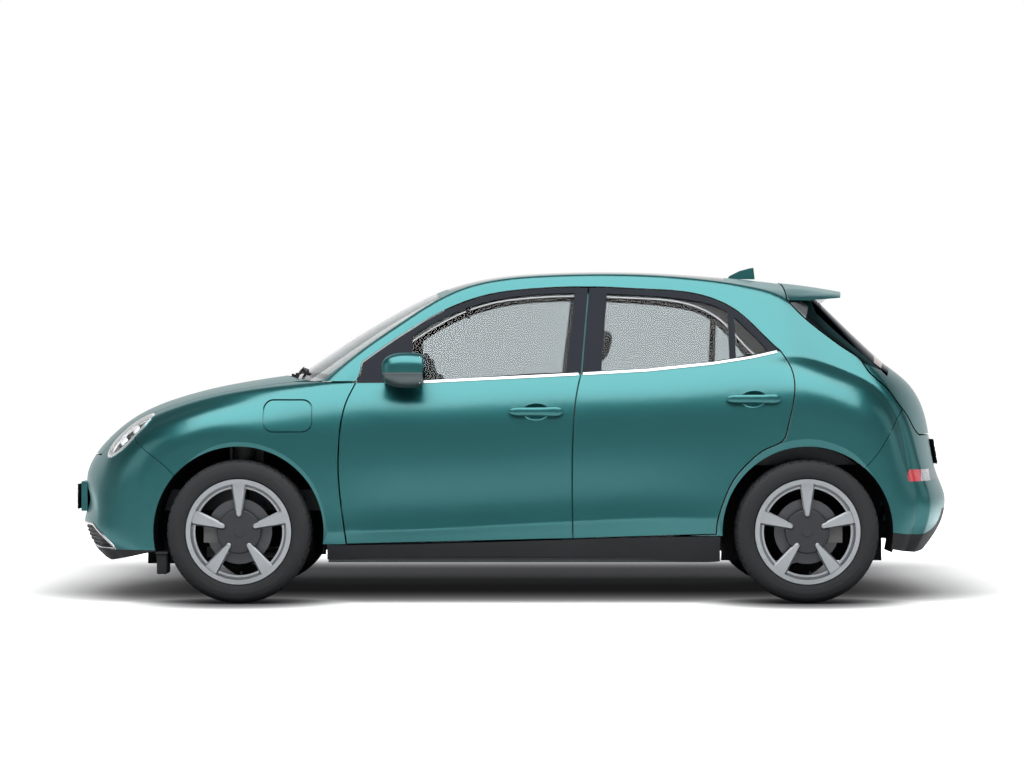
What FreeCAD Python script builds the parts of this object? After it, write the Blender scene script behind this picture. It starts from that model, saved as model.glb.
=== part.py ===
import FreeCAD, Part
import math
import os

# Hatchback car, in millimetres. The car stands on the ground plane with its nose towards -X,
# its left side towards -Y and its roof towards +Z. The origin is on the ground, midway along
# the length. Lengths along the car are given as stations: 0 at the nose, 1 at the front axle,
# 2 at the rear axle and 3 at the tail. Heights are shares of the roof height and widths are
# shares of the half width.

doc = FreeCAD.newDocument("hatchback_car")

# Driving dimensions
DRIVING = {
    "front_overhang": 834.0,
    "wheelbase": 2650.0,
    "rear_overhang": 751.0,
    "body_width": 1825.0,
    "roof_height": 1603.0,
    "shut_gap": 7.0,
    "seat_gap": 0.3,
    "moving_gap": 12.0,
    "overrun": 40.0,
    "skin_thickness": 14.0,
    "roof_thickness": 34.0,
    "hood_thickness": 24.0,
    "tailgate_thickness": 46.0,
    "bumper_thickness": 10.0,
    "door_edge_thickness": 38.0,
    "door_inner_half_width": 768.0,
    "glass_depth": 7.0,
    "glass_thickness": 4.5,
    "tyre_diameter": 672.0,
    "tyre_width": 215.0,
    "tyre_shoulder": 26.0,
    "rim_seat_diameter": 462.0,
    "rim_flange_diameter": 490.0,
    "rim_wall": 7.0,
    "rim_lip_width": 12.0,
    "spoke_plane": 14.0,
    "spoke_thickness": 26.0,
    "spoke_root_width": 30.0,
    "spoke_tip_width": 74.0,
    "spoke_root_reach": 66.0,
    "spoke_chamfer": 7.0,
    "cover_sink": 9.0,
    "cover_round": 6.0,
    "rim_ring_low": 203.0,
    "rim_ring_high": 212.0,
    "rim_ring_sink": 20.0,
    "rim_ring_step": 8.0,
    "hub_cover_diameter": 206.0,
    "hub_cap_diameter": 50.0,
    "wheel_centre_half_width": 787.0,
    "disc_diameter": 304.0,
    "disc_thickness": 24.0,
    "disc_offset": 36.0,
    "arch_radius": 398.0,
    "arch_flare": 16.0,
    "arch_flare_slope": 2.4,
    "liner_gap": 4.0,
    "liner_thickness": 5.0,
    "liner_inner_half_width": 462.0,
    "kingpin_low_half_width": 738.0,
    "kingpin_low_height": 216.0,
    "kingpin_top_half_width": 576.0,
    "kingpin_top_height": 830.0,
    "strut_radius": 26.0,
    "spring_radius": 55.0,
    "strut_low_half_width": 636.0,
    "strut_low_height": 450.0,
    "spindle_radius": 20.0,
    "carrier_radius": 62.0,
    "arm_radius": 18.0,
    "caliper_reach": 166.0,
    "caliper_width": 68.0,
    "caliper_height": 104.0,
    "bumper_gap": 3.0,
    "windscreen_thickness": 6.0,
    "roof_glass_thickness": 6.0,
    "lamp_half_height": 150.0,
    "lamp_half_width": 104.0,
    "lamp_rim": 15.0,
    "lamp_depth": 96.0,
    "lamp_proud": 4.0,
    "lens_thickness": 4.0,
    "floor_height": 264.0,
    "floor_thickness": 14.0,
    "floor_half_width": 750.0,
    "sill_inner_half_width": 742.0,
    "sill_outer_half_width": 832.0,
    "sill_low": 192.0,
    "sill_top": 266.0,
    "panel_wall": 16.0,
    "load_floor_height": 500.0,
    "longeron_half_width": 410.0,
    "longeron_width": 70.0,
    "longeron_low": 420.0,
    "longeron_height": 100.0,
    "battery_half_width": 600.0,
    "battery_low": 180.0,
    "drive_half_width": 300.0,
    "drive_height": 380.0,
    "subframe_low": 196.0,
    "subframe_height": 50.0,
    "subframe_half_width": 380.0,
    "seat_half_width": 255.0,
    "seat_place": 370.0,
    "seat_round": 45.0,
    "steering_wheel_radius": 182.0,
    "steering_wheel_grip": 14.0,
    "rear_wall_half_width": 562.0,
    "tower_height": 842.0,
    "rail_height": 42.0,
    "pillar_half_width": 822.0,
    "liner_outer_half_width": 868.0,
    "bowl_depth": 44.0,
    "door_hinge_half_width": 905.0,
    "door_flange": 6.0,
    "door_rebate": 12.0,
    "mirror_length": 189.0,
    "mirror_half_width": 84.0,
    "mirror_half_height": 82.0,
    "mirror_glass_sink": 8.0,
    "mirror_arm_half_length": 46.0,
    "mirror_arm_half_height": 15.0,
    "wiper_blade_height": 14.0,
    "wiper_arm_height": 22.0,
    "wiper_pivot_radius": 7.0,
    "grille_bar": 5.0,
    "handle_half_length": 126.0,
    "handle_half_height": 22.0,
    "handle_half_depth": 9.0,
    "handle_stand": 26.0,
    "handle_bowl_half_length": 64.0,
    "handle_bowl_half_height": 45.0,
    "handle_bowl_depth": 16.0,
    "handle_foot_half_length": 24.0,
    "handle_foot_half_height": 14.0,
    "hinge_height": 44.0,
}

sheet = doc.addObject("Spreadsheet::Sheet", "Sizes")
for line_number, (name, value) in enumerate(DRIVING.items(), start=1):
    sheet.set("A%d" % line_number, name)
    sheet.set("B%d" % line_number, str(value))
    sheet.setAlias("B%d" % line_number, name)
doc.recompute()


def size(name):
    """One driving dimension, read from the sheet."""
    return float(sheet.get(name))


vector = FreeCAD.Vector
X_AXIS = vector(1, 0, 0)
Y_AXIS = vector(0, 1, 0)
Z_AXIS = vector(0, 0, 1)

FRONT_OVERHANG = size("front_overhang")
WHEELBASE = size("wheelbase")
REAR_OVERHANG = size("rear_overhang")
LENGTH = FRONT_OVERHANG + WHEELBASE + REAR_OVERHANG
NOSE = -LENGTH / 2
FRONT_AXLE = NOSE + FRONT_OVERHANG
REAR_AXLE = FRONT_AXLE + WHEELBASE
HALF_WIDTH = size("body_width") / 2
ROOF_HEIGHT = size("roof_height")
WHEEL_HEIGHT = size("tyre_diameter") / 2
SHUT_GAP = size("shut_gap")
SEAT_GAP = size("seat_gap")
OVERRUN = size("overrun")


def along(station):
    """Place along the car of a station."""
    if station < 1:
        return NOSE + station * FRONT_OVERHANG
    if station < 2:
        return FRONT_AXLE + (station - 1) * WHEELBASE
    return REAR_AXLE + (station - 2) * REAR_OVERHANG


def up(share):
    return share * ROOF_HEIGHT


def out(share):
    return share * HALF_WIDTH


def read_table(table, place):
    """Straight-line value of a table of (place, value) pairs."""
    low = table[0]
    for high in table[1:]:
        if place <= high[0]:
            part = (place - low[0]) / (high[0] - low[0])
            return low[1] + max(part, 0) * (high[1] - low[1])
        low = high
    return low[1]


# Form of the skin
# Half width of the car along its length, at the height where it is widest.
PLAN_SHARES = [
    (0.001, 0.701), (0.201, 0.811), (0.321, 0.882), (0.441, 0.934), (0.621, 0.973), (0.740, 0.986),
    (0.999, 0.995), (1.107, 0.992), (1.220, 0.988), (1.484, 0.985), (1.711, 0.987), (1.862, 0.994),
    (2.000, 0.999), (2.311, 0.993), (2.511, 0.971), (2.644, 0.937), (2.777, 0.877), (2.999, 0.767),
]
# Rows of the skin, counted from the centreline outwards.
CROWN_SHARES = (0.0, 0.30, 0.60, 0.85, 0.95)
CROWN_POWER_SHARE = 2.2
# Between belt and lower crease: share of the way down, share of the belt's inset that is left,
# and how far the light-catching hollow above the crease pulls the side in.
SIDE_SHARES = [
    (0.04, 0.78, 0.0), (0.10, 0.52, 0.0), (0.20, 0.25, 0.0), (0.33, 0.08, 0.0), (0.48, 0.01, 0.001),
    (0.62, 0.0, 0.004), (0.75, 0.0, 0.010), (0.86, 0.0, 0.013), (0.935, 0.0, 0.008),
    (0.975, 0.0, 0.002), (1.0, 0.0, -0.001),
]
# Between crease and foot: share of the way down, inset under the crease, inset elsewhere.
FOOT_SHARES = [(0.12, 0.007, 0.001), (0.30, 0.015, 0.004), (0.55, 0.025, 0.012), (1.0, 0.050, 0.040)]
# Cabin skin, from windscreen base over the roof and down the tail.
CABIN_CENTRE_SHARES = [
    (1.064, 0.649), (1.103, 0.691), (1.156, 0.751), (1.207, 0.805), (1.262, 0.858), (1.318, 0.906),
    (1.375, 0.943), (1.443, 0.968), (1.507, 0.978), (1.590, 0.984), (1.681, 0.985), (1.771, 0.979),
    (1.862, 0.969), (1.937, 0.958), (1.990, 0.948), (2.091, 0.932), (2.191, 0.888), (2.324, 0.825),
    (2.477, 0.755), (2.617, 0.694), (2.744, 0.655), (2.828, 0.602), (2.870, 0.544), (2.886, 0.493),
    (2.899, 0.437), (2.926, 0.374), (2.982, 0.321), (2.999, 0.281), (2.957, 0.206), (2.844, 0.147),
]
CABIN_CORNER_SHARES = [
    (1.126, 0.614, 0.877), (1.160, 0.661, 0.857), (1.205, 0.726, 0.831), (1.254, 0.783, 0.798),
    (1.303, 0.839, 0.765), (1.352, 0.893, 0.732), (1.403, 0.931, 0.707), (1.462, 0.951, 0.690),
    (1.518, 0.959, 0.682), (1.594, 0.964, 0.676), (1.681, 0.965, 0.673), (1.767, 0.959, 0.666),
    (1.854, 0.944, 0.658), (1.918, 0.925, 0.651), (1.956, 0.906, 0.653), (1.982, 0.876, 0.666),
    (2.038, 0.837, 0.690), (2.151, 0.790, 0.723), (2.278, 0.745, 0.754), (2.377, 0.708, 0.776),
    (2.464, 0.669, 0.793), (2.544, 0.618, 0.809), (2.611, 0.565, 0.822), (2.657, 0.512, 0.833),
    (2.690, 0.449, 0.844), (2.724, 0.381, 0.855), (2.770, 0.321, 0.866), (2.784, 0.278, 0.868),
    (2.750, 0.206, 0.855), (2.684, 0.147, 0.822),
]
CABIN_BELT_SHARES = [
    (1.126, 0.596, 0.901), (1.160, 0.630, 0.898), (1.205, 0.643, 0.896), (1.254, 0.644, 0.895),
    (1.303, 0.644, 0.894), (1.352, 0.646, 0.894), (1.403, 0.651, 0.894), (1.462, 0.656, 0.894),
    (1.518, 0.661, 0.894), (1.594, 0.667, 0.894), (1.681, 0.672, 0.894), (1.767, 0.684, 0.891),
    (1.854, 0.704, 0.883), (1.918, 0.723, 0.869), (1.958, 0.725, 0.853), (1.986, 0.721, 0.838),
    (2.058, 0.710, 0.824), (2.178, 0.691, 0.820), (2.284, 0.672, 0.824), (2.377, 0.651, 0.833),
    (2.451, 0.624, 0.844), (2.513, 0.590, 0.855), (2.564, 0.546, 0.866), (2.597, 0.498, 0.877),
    (2.617, 0.440, 0.890), (2.644, 0.374, 0.901), (2.684, 0.318, 0.904), (2.697, 0.278, 0.905),
    (2.670, 0.209, 0.890), (2.617, 0.150, 0.860),
]
CABIN_FOOT_SHARES = [
    (1.126, 0.129), (1.160, 0.129), (1.205, 0.129), (1.254, 0.129), (1.303, 0.129), (1.352, 0.129),
    (1.403, 0.129), (1.462, 0.129), (1.518, 0.129), (1.594, 0.129), (1.681, 0.129), (1.767, 0.125),
    (1.852, 0.115), (1.894, 0.156), (1.933, 0.268), (1.971, 0.349), (2.019, 0.384), (2.063, 0.382),
    (2.102, 0.377), (2.138, 0.372), (2.167, 0.366), (2.198, 0.357), (2.228, 0.347), (2.259, 0.335),
    (2.291, 0.318), (2.327, 0.293), (2.352, 0.266), (2.364, 0.245), (2.372, 0.210), (2.364, 0.174),
]
CABIN_FLANK_SHARES = (0.10, 0.25, 0.50, 0.75)
CABIN_BULGE_SHARE = 0.008
# Crease: share of the way from belt to foot, and how strong it is, along the car.
CABIN_CREASE_SHARES = [
    (1.126, 0.840), (1.254, 0.837), (1.352, 0.826), (1.462, 0.812), (1.594, 0.795), (1.767, 0.774),
    (1.894, 0.785), (1.971, 0.800), (3.0, 0.800),
]
CABIN_CREASE_STRENGTH_SHARES = [
    (1.126, 0.15), (1.205, 0.55), (1.254, 1.0), (1.681, 1.0), (1.767, 0.70), (1.854, 0.25),
    (1.918, 0.0), (3.0, 0.0),
]
# Nose skin, from the windscreen base over the hood and down the front bumper.
NOSE_CENTRE_SHARES = [
    (1.239, 0.691), (1.182, 0.689), (1.126, 0.682), (1.069, 0.671), (0.999, 0.654), (0.800, 0.635),
    (0.621, 0.611), (0.483, 0.588), (0.363, 0.561), (0.267, 0.530), (0.183, 0.494), (0.107, 0.455),
    (0.050, 0.413), (0.021, 0.374), (0.023, 0.340), (0.055, 0.311), (0.039, 0.274), (0.008, 0.246),
    (0.011, 0.218), (0.035, 0.190), (0.055, 0.163), (0.129, 0.128),
]
NOSE_CORNER_SHARES = [
    (1.239, 0.655, 0.877), (1.182, 0.650, 0.871), (1.126, 0.643, 0.860), (1.069, 0.635, 0.846),
    (0.999, 0.621, 0.827), (0.800, 0.600, 0.809), (0.632, 0.574, 0.789), (0.501, 0.545, 0.769),
    (0.405, 0.514, 0.756), (0.327, 0.479, 0.745), (0.267, 0.442, 0.736), (0.225, 0.405, 0.732),
    (0.201, 0.368, 0.732), (0.186, 0.337, 0.736), (0.183, 0.306, 0.745), (0.186, 0.278, 0.756),
    (0.189, 0.250, 0.765), (0.186, 0.225, 0.769), (0.189, 0.200, 0.769), (0.195, 0.175, 0.767),
    (0.213, 0.150, 0.756), (0.261, 0.122, 0.734),
]
NOSE_BELT_SHARES = [
    (1.239, 0.634, 0.903), (1.182, 0.631, 0.903), (1.126, 0.625, 0.900), (1.069, 0.616, 0.894),
    (0.999, 0.600, 0.883), (0.800, 0.579, 0.870), (0.632, 0.550, 0.853), (0.513, 0.523, 0.837),
    (0.423, 0.493, 0.824), (0.354, 0.460, 0.813), (0.303, 0.428, 0.807), (0.269, 0.395, 0.804),
    (0.251, 0.362, 0.807), (0.243, 0.332, 0.811), (0.243, 0.303, 0.820), (0.249, 0.276, 0.830),
    (0.255, 0.250, 0.837), (0.255, 0.225, 0.842), (0.257, 0.201, 0.842), (0.263, 0.177, 0.838),
    (0.279, 0.153, 0.828), (0.321, 0.128, 0.805),
]
NOSE_FOOT_SHARES = [
    (1.239, 0.129), (1.198, 0.129), (1.150, 0.119), (1.107, 0.147), (1.047, 0.299), (0.909, 0.378),
    (0.860, 0.369), (0.821, 0.357), (0.786, 0.343), (0.755, 0.329), (0.730, 0.314), (0.708, 0.296),
    (0.692, 0.274), (0.682, 0.257), (0.674, 0.240), (0.671, 0.223), (0.668, 0.208), (0.666, 0.197),
    (0.665, 0.187), (0.666, 0.181), (0.668, 0.176), (0.672, 0.170),
]
NOSE_FLANK_SHARES = (0.50,)
NOSE_BULGE_SHARE = 0.006
NOSE_CREASE_SHARES = [(0.0, 0.80), (1.0, 0.80), (1.126, 0.84), (3.0, 0.84)]
NOSE_CREASE_STRENGTH_SHARES = [(0.0, 0.0), (1.0, 0.0), (1.205, 0.30), (3.0, 0.30)]


def between(low, high, share):
    return low + (high - low) * share


def section_row(centre, corner, belt, foot, flank_shares, bulge_share, crease_share, strength):
    """One section of the skin, as points from the left foot over the centreline to the right."""
    top = vector(along(centre[0]), 0, up(centre[1]))
    edge = vector(along(corner[0]), out(corner[2]), up(corner[1]))
    waist = vector(along(belt[0]), out(belt[2]), up(belt[1]))
    sole = vector(along(foot[0]), 0, up(foot[1]))
    half = []
    for share in CROWN_SHARES:
        drop = share ** CROWN_POWER_SHARE
        half.append(vector(between(top.x, edge.x, drop), edge.y * share, between(top.z, edge.z, drop)))
    half.append(edge)
    for share in flank_shares:
        point = between(edge, waist, share)
        bulge = out(bulge_share) * 4 * share * (1 - share)
        half.append(point + vector(0, bulge, 0))
    half.append(waist)
    inset = out(read_table(PLAN_SHARES, belt[0])) - waist.y
    crease = between(waist, sole, crease_share)
    for share, inset_left, hollow in SIDE_SHARES:
        place = between(waist, crease, share)
        station = station_of(place.x)
        side = out(read_table(PLAN_SHARES, station)) - inset * inset_left - out(hollow) * strength
        half.append(vector(place.x, side, place.z))
    for share, under, plain in FOOT_SHARES:
        place = between(crease, sole, share)
        side = out(read_table(PLAN_SHARES, station_of(place.x)))
        side -= out(between(plain, under, strength))
        half.append(vector(place.x, side, place.z))
    left = [vector(point.x, -point.y, point.z) for point in reversed(half[1:])]
    return left + half


def station_of(place):
    """Station of a place along the car."""
    if place < FRONT_AXLE:
        return (place - NOSE) / FRONT_OVERHANG
    if place < REAR_AXLE:
        return 1 + (place - FRONT_AXLE) / WHEELBASE
    return 2 + (place - REAR_AXLE) / REAR_OVERHANG


def skin_net(centres, corners, belts, feet, flank_shares, bulge_share, creases, strengths):
    net = []
    for centre, corner, belt, foot in zip(centres, corners, belts, feet):
        crease_share = read_table(creases, belt[0])
        strength = read_table(strengths, belt[0])
        net.append(section_row(centre, corner, belt, foot, flank_shares, bulge_share,
                               crease_share, strength))
    return net


def net_normals(net):
    """Outward direction at each point of a net: at its middle, outward is upward."""
    last_row = len(net) - 1
    last_column = len(net[0]) - 1
    normals = []
    for i in range(len(net)):
        row = []
        for j in range(len(net[0])):
            back = net[min(i + 1, last_row)][j] - net[max(i - 1, 0)][j]
            side = net[i][min(j + 1, last_column)] - net[i][max(j - 1, 0)]
            row.append(side.cross(back).normalize())
        normals.append(row)
    if normals[0][last_column // 2].z < 0:
        normals = [[way * -1 for way in row] for row in normals]
    return normals


def offset_net(net, depth):
    """The same net, set in by a depth along its own outward directions."""
    normals = net_normals(net)
    return [[point - normal * depth for point, normal in zip(row, ways)]
            for row, ways in zip(net, normals)]


def shrunk_net(net, core, share):
    return [[core + (point - core) * share for point in row] for row in net]


def net_surface(net, spans=None):
    """Smooth surface that follows a net, or the stretch of it that spans give."""
    surface = Part.BSplineSurface()
    rows = len(net)
    columns = len(net[0])
    along_knots = list(range(rows - 2))
    across_knots = list(range(columns - 2))
    ends = 4
    along_counts = [ends] + [1] * (rows - ends) + [ends]
    across_counts = [ends] + [1] * (columns - ends) + [ends]
    surface.buildFromPolesMultsKnots(net, along_counts, across_counts, along_knots, across_knots,
                                     False, False, 3, 3)
    if spans:
        surface.segment(*spans)
    return surface


def thick_solid(outer_net, inner_net, spans=None):
    """Closed solid between two nets."""
    outer = net_surface(outer_net, spans)
    inner = net_surface(inner_net, spans)
    first_u, last_u, first_v, last_v = outer.bounds()
    faces = [outer.toShape(), inner.toShape()]
    for u in (first_u, last_u):
        faces.append(Part.makeRuledSurface(outer.uIso(u).toShape(), inner.uIso(u).toShape()))
    for v in (first_v, last_v):
        faces.append(Part.makeRuledSurface(outer.vIso(v).toShape(), inner.vIso(v).toShape()))
    shell = Part.makeShell(faces)
    shell.sewShape()
    solid = Part.makeSolid(shell)
    if solid.Volume < 0:
        solid.reverse()
    return solid


CABIN_NET = skin_net(CABIN_CENTRE_SHARES, CABIN_CORNER_SHARES, CABIN_BELT_SHARES,
                     CABIN_FOOT_SHARES, CABIN_FLANK_SHARES, CABIN_BULGE_SHARE,
                     CABIN_CREASE_SHARES, CABIN_CREASE_STRENGTH_SHARES)
NOSE_NET = skin_net(NOSE_CENTRE_SHARES, NOSE_CORNER_SHARES, NOSE_BELT_SHARES,
                    NOSE_FOOT_SHARES, NOSE_FLANK_SHARES, NOSE_BULGE_SHARE,
                    NOSE_CREASE_SHARES, NOSE_CREASE_STRENGTH_SHARES)
CABIN_CORE = vector(along(1.56), 0, up(0.30))
NOSE_CORE = vector(along(1.10), 0, up(0.28))
CORE_SHARE = 0.62


def skin(net, low, high, spans=None):
    """Layer of the skin between two depths under its outer face."""
    return thick_solid(offset_net(net, low), offset_net(net, high), spans)


def block(net, core, spans=None):
    """Deep layer of the car under its skin, for pieces with an inner face of their own."""
    return thick_solid(net, shrunk_net(net, core, CORE_SHARE), spans)


# Outlines: a closed outline is a list of runs. A run of two points is straight, and one of more
# points is a smooth curve. Side outlines hold (station, height share) pairs.
FRONT_EDGE_SHARES = [
    (1.215, 0.702), (1.207, 0.651), (1.191, 0.596), (1.181, 0.536), (1.176, 0.446), (1.176, 0.371),
    (1.182, 0.271), (1.190, 0.174),
]
PILLAR_LOW_SHARES = [
    (1.5875, 0.190), (1.5865, 0.271), (1.5862, 0.396), (1.589, 0.536), (1.596, 0.626), (1.603, 0.671),
]
PILLAR_HIGH_SHARES = [(1.603, 0.671), (1.617, 0.926)]
RAIL_FRONT_SHARES = [
    (1.617, 0.926), (1.580, 0.926), (1.512, 0.920), (1.443, 0.905), (1.375, 0.868), (1.308, 0.808),
    (1.255, 0.750), (1.215, 0.702),
]
RAIL_REAR_SHARES = [
    (1.617, 0.926), (1.638, 0.926), (1.702, 0.921), (1.793, 0.911), (1.839, 0.892), (1.883, 0.853),
    (1.927, 0.782), (1.956, 0.736),
]
REAR_EDGE_SHARES = [
    (1.956, 0.736), (1.964, 0.715), (1.972, 0.688), (1.977, 0.649), (1.975, 0.593), (1.969, 0.545),
    (1.962, 0.493),
]
ARCH_EDGE_SHARES = [
    (1.962, 0.493), (1.953, 0.471), (1.927, 0.451), (1.898, 0.415), (1.868, 0.357), (1.851, 0.294),
    (1.842, 0.246), (1.839, 0.203),
]
BELT_FRONT_SHARES = [(1.190, 0.6475), (1.325, 0.6475), (1.463, 0.659), (1.603, 0.669)]
BELT_REAR_SHARES = [(1.603, 0.669), (1.700, 0.677), (1.790, 0.690), (1.879, 0.712), (1.954, 0.736)]
TAIL_EDGE_SHARES = [
    (1.973, 0.889), (2.027, 0.828), (2.147, 0.782), (2.272, 0.739), (2.351, 0.711), (2.391, 0.681),
    (2.508, 0.629), (2.584, 0.582), (2.648, 0.543), (2.692, 0.507), (2.732, 0.490),
]
BUMPER_REAR_EDGE_SHARES = [
    (2.607, 0.565), (2.524, 0.505), (2.423, 0.432), (2.381, 0.409), (2.311, 0.374),
]
BUMPER_FRONT_EDGE_SHARES = [(0.405, 0.477), (0.576, 0.406), (0.618, 0.386), (0.668, 0.349)]
WINDSCREEN_BASE_SHARES = [
    (1.143, -0.813), (1.111, -0.658), (1.084, -0.362), (1.075, 0.0), (1.084, 0.362),
    (1.111, 0.658), (1.143, 0.813),
]
WINDSCREEN_SIDE_SHARES = [(1.143, 0.813), (1.205, 0.797), (1.254, 0.762), (1.303, 0.730), (1.352, 0.699)]
HEADER_SHARES = [(1.352, 0.699), (1.343, 0.350), (1.341, 0.0), (1.343, -0.350), (1.352, -0.699)]


def side_points(shares):
    return [vector(along(station), 0, up(share)) for station, share in shares]


def plan_points(shares):
    return [vector(along(station), out(share), 0) for station, share in shares]


def mirrored(points):
    return [vector(point.x, -point.y, point.z) for point in reversed(points)]


def run_edge(points):
    if len(points) == 2:
        return Part.makeLine(points[0], points[1])
    curve = Part.BSplineCurve()
    curve.interpolate(points)
    return curve.toShape()


def outline_face(runs):
    wire = Part.Wire([run_edge(points) for points in runs])
    return Part.Face(wire)


def grown(runs, distance):
    """The outline set out by a distance, or in where it is negative."""
    corners = [point for run in runs for point in run[:-1]]
    flat = corners[0].y == 0 and all(point.y == 0 for point in corners)
    normal = Y_AXIS if flat else Z_AXIS
    area = vector(0, 0, 0)
    for first, second in zip(corners, corners[1:] + corners[:1]):
        area += first.cross(second)
    side = 1 if area.dot(normal) > 0 else -1
    moved = []
    count = len(corners)
    for i, point in enumerate(corners):
        before = (point - corners[i - 1]).normalize()
        after = (corners[(i + 1) % count] - point).normalize()
        out_before = before.cross(normal) * side
        out_after = after.cross(normal) * side
        both = out_before + out_after
        moved.append(point + both * (2 * distance / both.dot(both)))
    result = []
    place = 0
    for run in runs:
        steps = len(run) - 1
        result.append([moved[(place + k) % count] for k in range(steps + 1)])
        place += steps
    return result


def side_prism(runs, low, high):
    """Outline in side view, as a solid between two places across the car."""
    face = outline_face(runs)
    face.translate(vector(0, low, 0))
    return face.extrude(vector(0, high - low, 0))


def plan_prism(runs, low, high):
    """Outline in plan view, as a solid between two heights."""
    face = outline_face(runs)
    face.translate(vector(0, 0, low))
    return face.extrude(vector(0, 0, high - low))


def polygon_runs(points):
    return [[first, second] for first, second in zip(points, points[1:] + points[:1])]


def box(low, high):
    return Part.makeBox(high[0] - low[0], high[1] - low[1], high[2] - low[2], vector(*low))


def other_side(shape):
    """The same shape on the other side of the car."""
    return shape.mirror(vector(0, 0, 0), Y_AXIS)


def both_sides(shape):
    return Part.makeCompound([shape, other_side(shape)])


def fused(shapes):
    return shapes[0].multiFuse(shapes[1:])


pieces = []


def add_piece(name, shape):
    feature = doc.addObject("Part::Feature", name)
    feature.Shape = shape
    feature.Label = name
    pieces.append(feature)
    return feature


FRONT_DOOR = [side_points(shares) for shares in (
    FRONT_EDGE_SHARES, [FRONT_EDGE_SHARES[-1], PILLAR_LOW_SHARES[0]], PILLAR_LOW_SHARES,
    PILLAR_HIGH_SHARES, RAIL_FRONT_SHARES)]
REAR_DOOR = [side_points(shares) for shares in (
    PILLAR_LOW_SHARES, PILLAR_HIGH_SHARES, RAIL_REAR_SHARES, REAR_EDGE_SHARES, ARCH_EDGE_SHARES,
    [ARCH_EDGE_SHARES[-1], PILLAR_LOW_SHARES[0]])]
OUTSIDE = -HALF_WIDTH - OVERRUN
MIDDLE = 0.0
HALF_GAP = SHUT_GAP / 2


def arch_cylinder(axle, radius, low, high):
    return Part.makeCylinder(radius, high - low, vector(axle, low, WHEEL_HEIGHT), Y_AXIS)


ARCH_RADIUS = size("arch_radius")
ARCH_FLARE = size("arch_flare")
FLARE_HEIGHT = ARCH_FLARE * size("arch_flare_slope")


def arch_cutter(axle):
    """Opening of a left arch, widening outwards where its flare is pressed into the skin."""
    inner = arch_cylinder(axle, ARCH_RADIUS, -HALF_WIDTH, MIDDLE)
    deep = -HALF_WIDTH + ARCH_FLARE
    reach = ARCH_FLARE + OVERRUN
    wide = ARCH_RADIUS + reach * size("arch_flare_slope")
    flare = Part.makeCone(wide, ARCH_RADIUS, reach, vector(axle, deep - reach, WHEEL_HEIGHT), Y_AXIS)
    return inner.fuse(flare)

# Body panels
DOOR_EDGE = size("door_edge_thickness")
DOOR_INNER = -size("door_inner_half_width")
FRAME_GLASS_LOW = size("glass_depth")
FRAME_GLASS_HIGH = FRAME_GLASS_LOW + size("glass_thickness")
SKIN = size("skin_thickness")
ROOF_SKIN = size("roof_thickness")
HOOD_SKIN = size("hood_thickness")
TAIL_SKIN = size("tailgate_thickness")
BUMPER_SKIN = size("bumper_thickness")
BUMPER_GAP = size("bumper_gap")
FAR_SIDE = HALF_WIDTH + OVERRUN
SKY = ROOF_HEIGHT + OVERRUN
LEFT_CABIN = (0, len(CABIN_NET) - 3, 0, (len(CABIN_NET[0]) - 3) / 2)
LEFT_NOSE = (0, len(NOSE_NET) - 3, 0, (len(NOSE_NET[0]) - 3) / 2)

FRONT_INNER_SHARES = [
    (1.232, 0.634), (1.202, 0.500), (1.201, 0.350), (1.213, 0.213), (1.563, 0.231), (1.561, 0.530),
    (1.578, 0.656), (1.450, 0.648),
]
REAR_INNER_SHARES = [
    (1.611, 0.231), (1.612, 0.530), (1.627, 0.664), (1.790, 0.681), (1.915, 0.708), (1.950, 0.660),
    (1.950, 0.580), (1.925, 0.525), (1.880, 0.475), (1.845, 0.400), (1.822, 0.310), (1.816, 0.245),
]
FRONT_WINDOW = [side_points(shares) for shares in (
    [(1.304, 0.653), (1.380, 0.655), (1.463, 0.664), (1.576, 0.673)],
    [(1.576, 0.673), (1.592, 0.908)],
    [(1.592, 0.908), (1.550, 0.907), (1.500, 0.901), (1.447, 0.887), (1.383, 0.853), (1.304, 0.781)],
    [(1.304, 0.781), (1.304, 0.653)])]
REAR_WINDOW = [side_points(shares) for shares in (
    [(1.638, 0.678), (1.700, 0.683), (1.790, 0.696), (1.865, 0.714)],
    [(1.865, 0.714), (1.865, 0.851)],
    [(1.865, 0.851), (1.837, 0.873), (1.790, 0.890), (1.702, 0.903), (1.650, 0.908)],
    [(1.650, 0.908), (1.638, 0.678)])]
QUARTER_WINDOW = [side_points(shares) for shares in (
    [(1.876, 0.717), (1.934, 0.735)],
    [(1.934, 0.735), (1.908, 0.784), (1.876, 0.836)],
    [(1.876, 0.836), (1.876, 0.717)])]

door_skin = skin(CABIN_NET, 0, DOOR_EDGE, LEFT_CABIN)
cabin_block = block(CABIN_NET, CABIN_CORE, LEFT_CABIN)
glass_skin = skin(CABIN_NET, FRAME_GLASS_LOW, FRAME_GLASS_HIGH, LEFT_CABIN)
rebate_skin = skin(CABIN_NET, size("door_flange"), DOOR_EDGE + SKIN, LEFT_CABIN)
cabin_face = net_surface(CABIN_NET, LEFT_CABIN).toShape()


def door_panel(outline, inner_shares, windows, rebate_ways):
    """Left door: a thin rebated edge and window frame, and a deep inner part under the belt.

    Behind its outer flange the edge is set in, so that it swings clear of its opening."""
    reach = side_prism(grown(outline, -HALF_GAP), OUTSIDE, MIDDLE)
    edge = door_skin.common(reach)
    for way in rebate_ways:
        edge = edge.cut(rebate_skin.cut(reach.translated(X_AXIS * size("door_rebate") * way)))
    deep = side_prism(polygon_runs(side_points(inner_shares)), OUTSIDE, DOOR_INNER)
    panel = edge.fuse(cabin_block.common(deep))
    for window in windows:
        panel = panel.cut(side_prism(window, OUTSIDE, MIDDLE))
    return panel


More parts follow.
